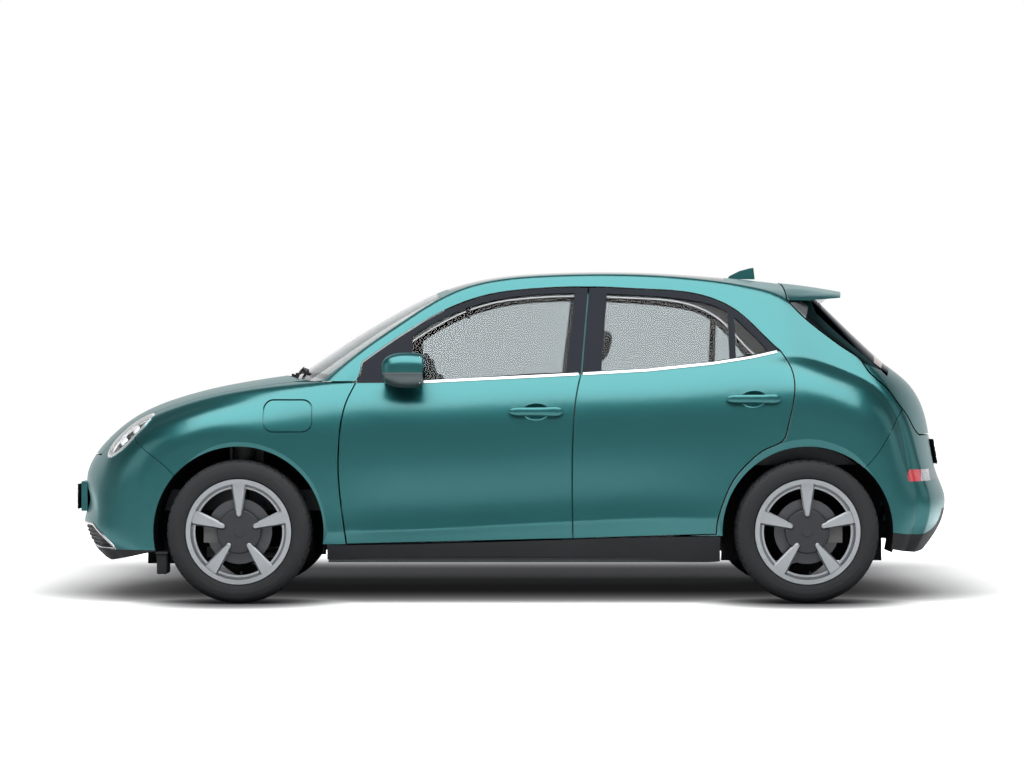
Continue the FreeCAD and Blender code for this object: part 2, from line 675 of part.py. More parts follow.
def pane(window):
    return glass_skin.common(side_prism(grown(window, -SEAT_GAP), OUTSIDE, MIDDLE))


FRONT_HINGE_PLACE = vector(along(1.187), -size("door_hinge_half_width"), 0)
REAR_HINGE_PLACE = vector(along(1.5975), -size("door_hinge_half_width"), 0)
FRONT_HINGE_HEIGHTS = [up(0.265), up(0.480)]
REAR_HINGE_HEIGHTS = [up(0.265), up(0.460)]
HINGE_HALF = size("hinge_height") / 2


def hinge_lugs(place, heights, pillar_face):
    """Quarter discs about a left door's hinge line, their rims a running gap from the pillar's face."""
    radius = size("door_hinge_half_width") - pillar_face - SEAT_GAP
    lugs = []
    for height in heights:
        disc = Part.makeCylinder(radius, 2 * HINGE_HALF, place + vector(0, 0, height - HINGE_HALF))
        quarter = disc.common(box((place.x, place.y, height - HINGE_HALF),
                                  (place.x + radius, place.y + radius, height + HINGE_HALF)))
        lugs.append(quarter.common(cabin_block))
    return lugs


# Door handle: sections along the bar as shares of its half length, half height and half depth.
HANDLE_SHARES = [(-1.0, 0.30, 0.30), (-0.90, 0.62, 0.62), (-0.62, 0.88, 0.95), (0.0, 0.90, 1.0),
                 (0.62, 1.0, 0.95), (0.90, 0.78, 0.70), (1.0, 0.36, 0.34)]
FRONT_HANDLE_SHARES = (1.5225, 0.5590)
REAR_HANDLE_SHARES = (1.9045, 0.5958)
FOOT_PLACE_SHARE = 0.74


def skin_place(station, height):
    """Point of the left side's skin at a station and a height share."""
    line = Part.makeLine(vector(along(station), OUTSIDE, up(height)),
                         vector(along(station), OUTSIDE / 2, up(height)))
    return line.distToShape(cabin_face)[1][0][1]


def oval_wire(centre, first_reach, second_reach):
    """Oval about a centre, through the ends of two reaches, the longer one first."""
    return Part.Wire([Part.Ellipse(centre + first_reach, centre + second_reach, centre).toShape()])


def with_handle(panel, place_shares):
    """The door with a grip bar on two feet over a bowl in its skin."""
    root = skin_place(*place_shares)
    stand = size("handle_stand")
    centre = root - Y_AXIS * stand
    half = size("handle_half_length")
    wires = []
    for place_share, height_share, depth_share in HANDLE_SHARES:
        inward = Y_AXIS * size("handle_half_depth") * (1 - depth_share)
        wires.append(oval_wire(centre + X_AXIS * half * place_share + inward,
                               Z_AXIS * size("handle_half_height") * height_share,
                               Y_AXIS * size("handle_half_depth") * depth_share))
    parts = [Part.makeLoft(wires, True, False)]
    for side in (-1, 1):
        foot = oval_wire(centre + X_AXIS * half * FOOT_PLACE_SHARE * side,
                         X_AXIS * size("handle_foot_half_length"), Z_AXIS * size("handle_foot_half_height"))
        parts.append(Part.Face(foot).extrude(Y_AXIS * (stand + SKIN)))
    stretch = FreeCAD.Matrix()
    stretch.scale(size("handle_bowl_half_length"), size("handle_bowl_depth"), size("handle_bowl_half_height"))
    bowl = Part.makeSphere(1).transformGeometry(stretch)
    bowl.translate(root)
    return panel.cut(bowl).multiFuse(parts)


front_door = with_handle(door_panel(FRONT_DOOR, FRONT_INNER_SHARES, [FRONT_WINDOW], [-1]),
                         FRONT_HANDLE_SHARES)
rear_door = with_handle(door_panel(REAR_DOOR, REAR_INNER_SHARES, [REAR_WINDOW, QUARTER_WINDOW], [-1, 1]),
                        REAR_HANDLE_SHARES)
front_door = front_door.multiFuse(
    hinge_lugs(FRONT_HINGE_PLACE, FRONT_HINGE_HEIGHTS, size("sill_outer_half_width")))
rear_door = rear_door.multiFuse(hinge_lugs(REAR_HINGE_PLACE, REAR_HINGE_HEIGHTS, size("pillar_half_width")))
front_pane = pane(FRONT_WINDOW)
rear_panes = Part.makeCompound([pane(REAR_WINDOW), pane(QUARTER_WINDOW)])
for side_name, turned in (("left", lambda shape: shape), ("right", other_side)):
    add_piece("front_door_" + side_name, turned(front_door))
    add_piece("rear_door_" + side_name, turned(rear_door))
    add_piece("front_door_glass_" + side_name, turned(front_pane))
    add_piece("rear_door_glass_" + side_name, turned(rear_panes))

# Windscreen and roof glass
WINDSCREEN = [plan_points(WINDSCREEN_BASE_SHARES), plan_points(WINDSCREEN_SIDE_SHARES),
              plan_points(HEADER_SHARES), mirrored(plan_points(WINDSCREEN_SIDE_SHARES))]
ROOF_GLASS_FRONT = plan_points([(1.372, -0.640), (1.362, -0.350), (1.360, 0.0), (1.362, 0.350),
                                (1.372, 0.640)])
ROOF_GLASS_SIDE = plan_points([(1.372, 0.640), (1.500, 0.622), (1.700, 0.612), (1.858, 0.600)])
ROOF_GLASS_REAR = plan_points([(1.858, 0.600), (1.868, 0.300), (1.870, 0.0), (1.868, -0.300),
                               (1.858, -0.600)])
ROOF_GLASS = [ROOF_GLASS_FRONT, ROOF_GLASS_SIDE, ROOF_GLASS_REAR, mirrored(ROOF_GLASS_SIDE)]
COWL_LEVEL = up(0.56)
roof_skin = skin(CABIN_NET, 0, ROOF_SKIN)


def glass_panel(outline, depth, thickness):
    layer = skin(CABIN_NET, depth, depth + thickness)
    return layer.common(plan_prism(grown(outline, -SEAT_GAP), COWL_LEVEL, SKY))


add_piece("windscreen", glass_panel(WINDSCREEN, 1.0 * SEAT_GAP, size("windscreen_thickness")))
add_piece("roof_glass", glass_panel(ROOF_GLASS, 1.0 * SEAT_GAP, size("roof_glass_thickness")))

# Tail: tailgate, its glass and the rear bumper
TAIL_END = 3.4
TAIL_LINE = 0.490
TAIL_REGION = [side_points(shares) for shares in (
    [(1.973, 1.06), (1.973, 0.889)], TAIL_EDGE_SHARES, [(2.732, 0.490), (TAIL_END, TAIL_LINE)],
    [(TAIL_END, TAIL_LINE), (TAIL_END, 1.06)], [(TAIL_END, 1.06), (1.973, 1.06)])]
REAR_BUMPER_REGION = [side_points(shares) for shares in (
    BUMPER_REAR_EDGE_SHARES, [(2.311, 0.374), (2.250, 0.330)], [(2.250, 0.330), (2.250, 0.0)],
    [(2.250, 0.0), (TAIL_END, 0.0)], [(TAIL_END, 0.0), (TAIL_END, TAIL_LINE)],
    [(TAIL_END, TAIL_LINE), (2.732, 0.490)],
    [(2.732, 0.490), (2.692, 0.507), (2.648, 0.543), (2.607, 0.565)])]
DIFFUSER_REGION = [side_points(shares) for shares in (
    [(2.200, 0.0), (2.200, 0.200)], [(2.200, 0.200), (2.600, 0.203), (2.820, 0.215), (2.900, 0.270)],
    [(2.900, 0.270), (TAIL_END, 0.285)], [(TAIL_END, 0.285), (TAIL_END, 0.0)],
    [(TAIL_END, 0.0), (2.200, 0.0)])]
REAR_GLASS = [plan_points([(2.100, -0.560), (2.075, -0.280), (2.070, 0.0), (2.075, 0.280), (2.100, 0.560)]),
              plan_points([(2.100, 0.560), (2.300, 0.640), (2.530, 0.700)]),
              plan_points([(2.530, 0.700), (2.585, 0.350), (2.595, 0.0), (2.585, -0.350), (2.530, -0.700)]),
              plan_points([(2.530, -0.700), (2.300, -0.640), (2.100, -0.560)])]
tail_opening = side_prism(grown(TAIL_REGION, HALF_GAP), OUTSIDE, FAR_SIDE)
tail_skin = skin(CABIN_NET, 0, TAIL_SKIN)
tail_panel = tail_skin.common(side_prism(grown(TAIL_REGION, -HALF_GAP), OUTSIDE, FAR_SIDE))
rear_glass_prism = plan_prism(REAR_GLASS, up(TAIL_LINE), SKY)
SPOILER_SHARES = [
    (1.9745, [(0, 0.9525), (0.329, 0.939), (0.438, 0.928), (0.548, 0.911), (0.603, 0.899), (0.628, 0.892)],
     [(0.628, 0.888), (0.329, 0.905), (0, 0.912)]),
    (2.0713, [(0, 0.9435), (0.329, 0.933), (0.438, 0.924), (0.537, 0.909), (0.585, 0.900), (0.606, 0.894)],
     [(0.606, 0.890), (0.329, 0.904), (0, 0.912)]),
    (2.2310, [(0, 0.931), (0.329, 0.923), (0.438, 0.917), (0.526, 0.909), (0.565, 0.903), (0.584, 0.899)],
     [(0.584, 0.896), (0.329, 0.908), (0, 0.916)]),
    (2.2896, [(0, 0.9255), (0.329, 0.919), (0.438, 0.914), (0.515, 0.908), (0.550, 0.904), (0.570, 0.901)],
     [(0.570, 0.899), (0.329, 0.914), (0, 0.921)]),
]


def spoiler_wire(station, top_shares, low_shares):
    """Closed section of the spoiler across the car, from shares of one side."""
    place = along(station)
    top = [vector(place, out(width), up(height)) for width, height in top_shares]
    low = [vector(place, out(width), up(height)) for width, height in low_shares]
    top = [vector(point.x, -point.y, point.z) for point in reversed(top[1:])] + top
    low = low + [vector(point.x, -point.y, point.z) for point in reversed(low[:-1])]
    return Part.Wire([run_edge(top), run_edge([top[-1], low[0]]), run_edge(low), run_edge([low[-1], top[0]])])


spoiler = Part.makeLoft([spoiler_wire(*entry) for entry in SPOILER_SHARES], True, False)
SPOILER_END = [plan_points(shares) for shares in (
    [(1.900, -0.700), (2.235, -0.660)],
    [(2.235, -0.660), (2.262, -0.500), (2.284, -0.250), (2.289, 0), (2.284, 0.250), (2.262, 0.500),
     (2.235, 0.660)],
    [(2.235, 0.660), (1.900, 0.700)], [(1.900, 0.700), (1.900, -0.700)])]
spoiler = spoiler.common(plan_prism(SPOILER_END, COWL_LEVEL, SKY))
glass_bed = skin(CABIN_NET, -SEAT_GAP, 2 * TAIL_SKIN).common(rear_glass_prism)
spoiler = spoiler.cut(glass_bed)
tailgate = tail_panel.cut(rear_glass_prism).fuse(spoiler)
add_piece("tailgate", tailgate)
TAIL_BAR = [plan_points(shares) for shares in (
    [(2.455, -0.640), (2.500, -0.350), (2.510, 0), (2.500, 0.350), (2.455, 0.640)],
    [(2.455, 0.640), (2.500, 0.650)],
    [(2.500, 0.650), (2.560, 0.350), (2.570, 0), (2.560, -0.350), (2.500, -0.650)],
    [(2.500, -0.650), (2.455, -0.640)])]
bar_depth = 2 * SEAT_GAP + size("windscreen_thickness")
tail_bar = skin(CABIN_NET, bar_depth, bar_depth + SKIN).common(plan_prism(TAIL_BAR, up(TAIL_LINE), SKY))
add_piece("tail_lamps", tail_bar)
add_piece("tailgate_glass", skin(CABIN_NET, SEAT_GAP, size("windscreen_thickness")).common(
    plan_prism(grown(REAR_GLASS, -SEAT_GAP), up(TAIL_LINE), SKY)))
bumper_skin = skin(CABIN_NET, 0, BUMPER_SKIN)
rear_arch = arch_cutter(REAR_AXLE)
front_arch = arch_cutter(FRONT_AXLE)
rear_arches = rear_arch.fuse(other_side(rear_arch))
front_arches = front_arch.fuse(other_side(front_arch))
rear_bumper = bumper_skin.common(side_prism(grown(REAR_BUMPER_REGION, -BUMPER_GAP / 2), OUTSIDE, FAR_SIDE))
rear_bumper = rear_bumper.cut(tail_opening).cut(rear_arches)
CORNER_LAMP_SHARES = [(2.634, 0.355), (TAIL_END, 0.362), (TAIL_END, 0.392), (2.640, 0.390), (2.622, 0.373)]
corner_runs = polygon_runs(side_points(CORNER_LAMP_SHARES))
corner_lamp = skin(CABIN_NET, -SEAT_GAP, BUMPER_SKIN, LEFT_CABIN).common(
    side_prism(grown(corner_runs, -SEAT_GAP), OUTSIDE, -out(0.50)))
add_piece("rear_bumper_lamps", both_sides(corner_lamp))
corner_opening = side_prism(corner_runs, OUTSIDE, -out(0.50) + SEAT_GAP)
rear_bumper = rear_bumper.cut(corner_opening).cut(other_side(corner_opening))
diffuser_prism = side_prism(DIFFUSER_REGION, OUTSIDE, FAR_SIDE)
add_piece("rear_bumper", rear_bumper.cut(side_prism(grown(DIFFUSER_REGION, SEAT_GAP), OUTSIDE, FAR_SIDE)))
diffuser = rear_bumper.common(diffuser_prism)

# Nose: hood, fenders, front bumper, cowl and headlamps
HOOD_REAR = plan_points([(1.118, -0.745), (1.100, -0.640), (1.074, -0.360), (1.063, 0.0),
                         (1.074, 0.360), (1.100, 0.640), (1.118, 0.745)])
HOOD_SIDE = plan_points([(1.118, 0.745), (0.999, 0.762), (0.800, 0.738), (0.632, 0.696),
                         (0.501, 0.645), (0.405, 0.602), (0.267, 0.552), (0.107, 0.515), (-0.060, 0.490)])
HOOD = [HOOD_REAR, HOOD_SIDE, [HOOD_SIDE[-1], mirrored([HOOD_SIDE[-1]])[0]], mirrored(HOOD_SIDE)]
HOOD_LINE = up(0.430)
COWL_REAR = plan_points([(1.142, 0.805), (1.110, 0.655), (1.082, 0.362), (1.073, 0.0),
                         (1.082, -0.362), (1.110, -0.655), (1.142, -0.805)])
COWL = [HOOD_REAR, [HOOD_REAR[-1], COWL_REAR[0]], COWL_REAR, [COWL_REAR[-1], HOOD_REAR[0]]]
FRONT_BUMPER_REGION = [side_points(shares) for shares in (
    [(0.405, 0.620), (0.405, 0.477)], BUMPER_FRONT_EDGE_SHARES, [(0.668, 0.349), (0.720, 0.300)],
    [(0.720, 0.300), (0.720, 0.0)], [(0.720, 0.0), (-0.200, 0.0)], [(-0.200, 0.0), (-0.200, 0.620)],
    [(-0.200, 0.620), (0.405, 0.620)])]
LIP_LINE = up(0.156)
FENDER_TOP = up(0.6455)
FENDER_LOW = up(0.1745)
hood_skin = skin(NOSE_NET, 0, HOOD_SKIN)
hood = hood_skin.common(plan_prism(grown(HOOD, -HALF_GAP), HOOD_LINE + HALF_GAP, SKY))
hood_opening = plan_prism(grown(HOOD, HALF_GAP), HOOD_LINE - HALF_GAP, SKY)
cowl_skin = skin(NOSE_NET, SKIN / 2, SKIN + SKIN / 2)
cowl = cowl_skin.common(plan_prism(COWL, COWL_LEVEL, SKY)).cut(hood_opening)
cowl = cowl.cut(plan_prism(grown(WINDSCREEN, SEAT_GAP), COWL_LEVEL, SKY))

# Wipers, parked along the foot of the windscreen: blades, arms and the pivots they turn on.
BLADE_SHARES = [
    [(1.1080, -0.48), (1.0920, -0.20), (1.0895, 0.12), (1.0940, 0.12), (1.0965, -0.20), (1.1125, -0.48)],
    [(1.0885, 0.07), (1.0960, 0.35), (1.1200, 0.62), (1.1245, 0.62), (1.1005, 0.35), (1.0930, 0.07)],
]
ARM_SHARES = [
    [(1.0890, -0.518), (1.0940, -0.518), (1.0970, -0.20), (1.0925, -0.20)],
    [(1.0665, 0.055), (1.0705, 0.055), (1.1005, 0.35), (1.0965, 0.35)],
]
PIVOT_SHARES = [(1.0914, -0.506), (1.0690, 0.062)]
PIVOT_LOW = up(0.640)
PIVOT_HIGH = up(0.6740)


def plan_polygon(shares):
    return plan_prism(polygon_runs(plan_points(shares)), COWL_LEVEL, SKY)


blade_skin = skin(CABIN_NET, -size("wiper_blade_height"), -SEAT_GAP)
arm_skin = skin(CABIN_NET, -size("wiper_arm_height"), -size("wiper_blade_height") + 2 * SEAT_GAP)
wiper_parts = [blade_skin.common(plan_polygon(shares)) for shares in BLADE_SHARES]
wiper_parts += [arm_skin.common(plan_polygon(shares)) for shares in ARM_SHARES]
for station, share in PIVOT_SHARES:
    wiper_parts.append(Part.makeCylinder(size("wiper_pivot_radius"), PIVOT_HIGH - PIVOT_LOW,
                                         vector(along(station), out(share), PIVOT_LOW)))
screen_bed = skin(CABIN_NET, 0, size("windscreen_thickness") + 2 * SEAT_GAP)
screen_bed = screen_bed.common(plan_prism(grown(WINDSCREEN, SEAT_GAP), COWL_LEVEL, SKY))
cowl = cowl.multiFuse(wiper_parts).cut(screen_bed)
add_piece("cowl_panel", cowl)

LAMP_PLACE = vector(along(0.352), -out(0.718), up(0.496))
LAMP_WAY = vector(-0.62, -0.45, 0.64).normalize()
LAMP_LONG = vector(0.70, 0.0, 0.71)
LAMP_LONG = (LAMP_LONG - LAMP_WAY * LAMP_LONG.dot(LAMP_WAY)).normalize()
LAMP_WIDE = LAMP_WAY.cross(LAMP_LONG)


def lamp_prism(change, depth, reach):
    """Oval column through the left headlamp, its outline changed by a distance."""
    long_half = size("lamp_half_height") + change
    wide_half = size("lamp_half_width") + change
    start = LAMP_PLACE - LAMP_WAY * depth
    oval = Part.Ellipse(start + LAMP_LONG * long_half, start + LAMP_WIDE * wide_half, start)
    return Part.Face(Part.Wire([oval.toShape()])).extrude(LAMP_WAY * (depth + reach))


lamp_reach = size("lamp_half_height")
lamp_depth = size("lamp_depth")
lamp_rim = size("lamp_rim")
lamp_wall = lamp_rim / 2
proud_nose = offset_net(NOSE_NET, -size("lamp_proud"))
lamp_block = block(proud_nose, NOSE_CORE, LEFT_NOSE)
lamp_cup = lamp_block.common(lamp_prism(0, lamp_depth, lamp_reach))
lamp_cup = lamp_cup.cut(lamp_prism(-lamp_rim, lamp_depth - lamp_wall, lamp_reach))
add_piece("headlamps", both_sides(lamp_cup))
lens = skin(NOSE_NET, -size("lens_thickness"), 0, LEFT_NOSE).common(
    lamp_prism(-lamp_rim - SEAT_GAP, lamp_depth, lamp_reach))
add_piece("headlamp_lenses", both_sides(lens))
lamp_opening = lamp_prism(2 * SEAT_GAP, lamp_depth + OVERRUN, lamp_reach)
lamp_openings = lamp_opening.fuse(other_side(lamp_opening))
lamp_clearance = lamp_prism(SHUT_GAP, lamp_depth + OVERRUN, lamp_reach)
hood = hood.cut(lamp_clearance).cut(other_side(lamp_clearance))
add_piece("hood", hood)

front_bumper_skin = skin(NOSE_NET, 0, BUMPER_SKIN)
bumper_prism = side_prism(grown(FRONT_BUMPER_REGION, -BUMPER_GAP / 2), OUTSIDE, FAR_SIDE)
front_bumper = front_bumper_skin.common(bumper_prism)
front_bumper = front_bumper.cut(hood_opening).cut(lamp_openings).cut(front_arches)
lip_box = box((NOSE - OVERRUN, OUTSIDE, 0), (FRONT_AXLE, FAR_SIDE, LIP_LINE))
lip = front_bumper.common(lip_box)
front_bumper = front_bumper.cut(lip_box)
GRILLE_SHARES = [(-0.060, 0.140), (0.320, 0.140), (0.293, 0.158), (0.146, 0.2235), (-0.060, 0.2235)]
grille_runs = polygon_runs(side_points(GRILLE_SHARES))
front_bumper = front_bumper.cut(side_prism(grille_runs, OUTSIDE, FAR_SIDE))
plate_pad = box((NOSE, -out(0.285), up(0.2564)), (NOSE + 3 * SKIN, out(0.285), up(0.3456)))
pad_curve = Part.makeCylinder(size("wheelbase"), up(1), vector(NOSE + size("wheelbase"), 0, 0))
plate_pad = plate_pad.common(pad_curve)
front_bumper = front_bumper.fuse(plate_pad)
add_piece("front_bumper", front_bumper)
grille_back = skin(NOSE_NET, BUMPER_SKIN + SEAT_GAP, 2 * BUMPER_SKIN).common(
    side_prism(grown(grille_runs, SKIN / 2), OUTSIDE, FAR_SIDE))
GRILLE_BAR_SHARES = (0.1640, 0.1755, 0.1870, 0.1985, 0.2100)
grille_bars = []
for share in GRILLE_BAR_SHARES:
    grille_bars.append(box((NOSE - OVERRUN, OUTSIDE, up(share)),
                           (along(0.5), FAR_SIDE, up(share) + size("grille_bar"))))
bar_skin = skin(NOSE_NET, BUMPER_SKIN / 2, BUMPER_SKIN + 2 * SEAT_GAP).common(Part.makeCompound(grille_bars))
bar_skin = bar_skin.common(side_prism(grown(grille_runs, -SEAT_GAP), OUTSIDE, FAR_SIDE))
add_piece("lower_grille", grille_back.fuse(bar_skin))

front_opening = side_prism(grown(FRONT_DOOR, HALF_GAP), OUTSIDE, FAR_SIDE)
rear_opening = side_prism(grown(REAR_DOOR, HALF_GAP), OUTSIDE, FAR_SIDE)
fender_skin = skin(NOSE_NET, 0, SKIN, LEFT_NOSE)
fender = fender_skin.common(box((NOSE, OUTSIDE, FENDER_LOW), (along(1.235), MIDDLE, FENDER_TOP)))
fender = fender.cut(side_prism(grown(FRONT_BUMPER_REGION, BUMPER_GAP / 2), OUTSIDE, MIDDLE))
fender = fender.cut(hood_opening).cut(lamp_opening).cut(front_arch).cut(front_opening)
fender = fender.cut(plan_prism(grown(COWL, SEAT_GAP), COWL_LEVEL, SKY))
fender = fender.cut(plan_prism(grown(WINDSCREEN, SEAT_GAP), COWL_LEVEL, SKY))
fender = max(fender.Solids, key=lambda solid: solid.Volume)

# Charge flap in the left fender
FLAP_LOW = (along(1.044), up(0.500))
FLAP_HIGH = (along(1.129), up(0.593))


def flap_prism(change, low, high):
    corner = size("seat_round")
    plate = Part.makeBox(FLAP_HIGH[0] - FLAP_LOW[0] + 2 * change, high - low,
                         FLAP_HIGH[1] - FLAP_LOW[1] + 2 * change,
                         vector(FLAP_LOW[0] - change, low, FLAP_LOW[1] - change))
    edges = [edge for edge in plate.Edges if edge.tangentAt(edge.FirstParameter).cross(Y_AXIS).Length < 0.01]
    return plate.makeFillet(corner + change, edges)


flap = fender_skin.common(flap_prism(-HALF_GAP, OUTSIDE, MIDDLE))
left_fender = fender.cut(flap_prism(HALF_GAP, OUTSIDE, MIDDLE))
BOWL_DEPTH = size("bowl_depth")
wall_ring = flap_prism(SKIN, OUTSIDE, MIDDLE).cut(flap_prism(HALF_GAP, OUTSIDE, MIDDLE))
stop_ring = flap_prism(HALF_GAP, OUTSIDE, MIDDLE).cut(flap_prism(-SKIN, OUTSIDE, MIDDLE))
bowl = fused([
    skin(NOSE_NET, SKIN / 2, BOWL_DEPTH, LEFT_NOSE).common(wall_ring),
    skin(NOSE_NET, SKIN + SEAT_GAP, BOWL_DEPTH, LEFT_NOSE).common(stop_ring),
    skin(NOSE_NET, BOWL_DEPTH - SKIN / 2, BOWL_DEPTH, LEFT_NOSE).common(flap_prism(SKIN, OUTSIDE, MIDDLE))])
left_fender = left_fender.fuse(bowl)
add_piece("charge_flap", flap)
add_piece("front_fenders", Part.makeCompound([left_fender, other_side(fender)]))

# Body shell
FLOOR = size("floor_height")
FLOOR_WALL = size("floor_thickness")
FLOOR_HALF = size("floor_half_width")
WALL = size("panel_wall")
LOAD_FLOOR = size("load_floor_height")
SILL_IN = size("sill_inner_half_width")
SILL_OUT = size("sill_outer_half_width")
ROCKER_LINE = up(0.1985)
shell = roof_skin.cut(front_opening)
shell = shell.cut(rear_opening)
shell = shell.cut(tail_opening)
shell = shell.cut(side_prism(grown(REAR_BUMPER_REGION, BUMPER_GAP / 2), OUTSIDE, FAR_SIDE))
shell = shell.cut(plan_prism(WINDSCREEN, COWL_LEVEL, SKY)).cut(plan_prism(ROOF_GLASS, COWL_LEVEL, SKY))
shell = shell.cut(box((NOSE, OUTSIDE, 0), (along(1.235), FAR_SIDE, up(0.648))))
shell = shell.cut(box((NOSE, OUTSIDE, 0), (along(1.900), FAR_SIDE, ROCKER_LINE)))
shell = shell.cut(rear_arches)
shell = max(shell.Solids, key=lambda solid: solid.Volume)

FIREWALL = along(1.157)
FLOOR_END = along(1.826)
REAR_WALL = size("rear_wall_half_width")
LONGERON = size("longeron_half_width")
LONGERON_WIDTH = size("longeron_width")
LONGERON_LOW = size("longeron_low")
LONGERON_HIGH = LONGERON_LOW + size("longeron_height")
TOWER_LOW = size("tower_height") - WALL
TOWER_HIGH = size("tower_height")
TOWER_IN = size("liner_inner_half_width")
RAIL_LOW = TOWER_LOW - size("rail_height")
PILLAR_OUT = size("pillar_half_width")
HINGE_PILLAR_FRONT = along(1.157)
HINGE_PILLAR_REAR = along(1.1725)
LOAD_END = along(2.71)
SHELF = up(0.497)


def section_prism(points, low, high):
    """Outline given as (width, height) pairs, as a solid between two places along the car."""
    corners = [vector(low, width, height) for width, height in points]
    wire = Part.makePolygon(corners + corners[:1])
    return Part.Face(wire).extrude(vector(high - low, 0, 0))


PILLAR_SIDE_SHARES = [(1.5695, 0.160), (1.5695, 0.530), (1.586, 0.656), (1.596, 0.672), (1.605, 0.945),
                      (1.632, 0.945), (1.620, 0.660), (1.606, 0.530), (1.606, 0.160)]
pillar_outline = [(PILLAR_OUT, size("sill_top") - WALL), (PILLAR_OUT, up(0.500)), (out(0.830), up(0.661)),
                  (out(0.632), up(0.945)), (out(0.590), up(0.945)), (out(0.780), up(0.645)),
                  (SILL_IN, up(0.500)), (SILL_IN, size("sill_top") - WALL)]
centre_pillar = section_prism(pillar_outline, along(1.56), along(1.64)).common(
    side_prism(polygon_runs(side_points(PILLAR_SIDE_SHARES)), MIDDLE, FAR_SIDE))
hinge_brackets = [box((HINGE_PILLAR_FRONT, SILL_OUT - 3 * WALL, height - HINGE_HALF),
                      (FRONT_HINGE_PLACE.x + WALL / 2, SILL_OUT, height + HINGE_HALF))
                  for height in FRONT_HINGE_HEIGHTS]
shelf_low = along(1.985)
shelf_high = along(2.36)
side_parts = [
    box((FIREWALL, SILL_IN, size("sill_low")), (FLOOR_END, SILL_OUT, size("sill_top"))),
    box((HINGE_PILLAR_FRONT, FLOOR_HALF - 3 * WALL, size("sill_low")),
        (HINGE_PILLAR_REAR, SILL_OUT, up(0.56))),
    side_prism(polygon_runs(side_points([(1.157, 0.55), (1.1725, 0.55), (1.196, 0.650), (1.165, 0.662),
                                         (1.157, 0.632)])), FLOOR_HALF - 3 * WALL, FLOOR_HALF + WALL),
    centre_pillar,
    box((FLOOR_END, REAR_WALL, LOAD_FLOOR - 3 * WALL), (LOAD_END, REAR_WALL + WALL, SHELF)),
    box((FIREWALL, LONGERON - LONGERON_WIDTH / 2, LONGERON_LOW - LONGERON_WIDTH),
        (FIREWALL + WALL, LONGERON + LONGERON_WIDTH / 2, LONGERON_HIGH)),
    box((along(0.26), LONGERON - LONGERON_WIDTH / 2, LONGERON_LOW),
        (FIREWALL, LONGERON + LONGERON_WIDTH / 2, LONGERON_HIGH)),
    box((FRONT_AXLE - 5 * WALL, LONGERON, LONGERON_LOW),
        (FRONT_AXLE + 5 * WALL, TOWER_IN - WALL / 2, TOWER_HIGH)),
    box((FRONT_AXLE - 5 * WALL, LONGERON, TOWER_LOW), (FRONT_AXLE + 5 * WALL, out(0.745), TOWER_HIGH)),
    box((along(0.60), out(0.735), RAIL_LOW), (HINGE_PILLAR_FRONT + WALL, out(0.80), TOWER_LOW + WALL / 2)),
] + hinge_brackets
middle_parts = [
    box((FIREWALL, -FLOOR_HALF, FLOOR), (FLOOR_END, FLOOR_HALF, FLOOR + FLOOR_WALL)),
    box((FIREWALL, -FLOOR_HALF, FLOOR), (FIREWALL + WALL, FLOOR_HALF, up(0.615))),
    box((FLOOR_END, -SILL_OUT, FLOOR - 2 * WALL), (FLOOR_END + WALL, SILL_OUT, LOAD_FLOOR + WALL)),
    box((FLOOR_END, -REAR_WALL - WALL / 2, LOAD_FLOOR), (LOAD_END, REAR_WALL + WALL / 2, LOAD_FLOOR + WALL)),
    box((LOAD_END, -out(0.66), up(0.265)), (LOAD_END + WALL, out(0.66), up(0.478))),
    box((along(0.26), -out(0.60), LONGERON_LOW - WALL), (along(0.31), out(0.60), LONGERON_HIGH)),
    box((along(1.060), -out(0.74), up(0.598)), (FIREWALL + WALL, out(0.74), up(0.608))),
]
shelf = block(CABIN_NET, CABIN_CORE, LEFT_CABIN).common(
    box((shelf_low, OUTSIDE, SHELF - WALL), (shelf_high, -REAR_WALL, SHELF)))
hood_bracket = box((along(1.085), -out(0.80), TOWER_LOW), (along(1.097), -out(0.735), SKY)).common(
    block(offset_net(NOSE_NET, HOOD_SKIN + SEAT_GAP), NOSE_CORE, LEFT_NOSE))
front_absorber = block(offset_net(NOSE_NET, BUMPER_SKIN + SEAT_GAP), NOSE_CORE).common(
    box((NOSE + 3 * SKIN + SEAT_GAP, -out(0.60), up(0.270)), (along(0.27), out(0.60), up(0.325))))
rear_absorber = block(offset_net(CABIN_NET, BUMPER_SKIN + SEAT_GAP), CABIN_CORE).common(
    box((LOAD_END, -out(0.70), up(0.310)), (along(3.1), out(0.70), up(0.350))))
structure = middle_parts + side_parts + [other_side(part) for part in side_parts]
structure += [shelf, other_side(shelf), hood_bracket, other_side(hood_bracket), front_absorber, rear_absorber]
frame_shape = fused(structure)
fender_bed = skin(NOSE_NET, -OVERRUN / 2, SKIN + SEAT_GAP).common(
    box((NOSE - OVERRUN, OUTSIDE, 0), (along(1.235), FAR_SIDE, FENDER_TOP + SEAT_GAP)))
frame_shape = frame_shape.cut(fender_bed)
FIN_SHARES = [(1.8806, 0.965), (1.8850, 0.975), (1.9032, 0.990), (1.9221, 0.9985), (1.9296, 1.0),
              (1.9320, 0.965)]
fin = side_prism(polygon_runs(side_points(FIN_SHARES)), -SKIN, SKIN)
tail_tab = box((along(1.960), out(0.110), up(0.930)),
               (along(1.973) + HALF_GAP - SEAT_GAP, out(0.165), up(0.942)))
body_shell = shell.multiFuse([frame_shape, fin, tail_tab, other_side(tail_tab)])
add_piece("body_shell", body_shell)

# Arch liners
LINER_IN = ARCH_RADIUS + size("liner_gap")
LINER_OUT = LINER_IN + size("liner_thickness")
LINER_LINE = up(0.150)


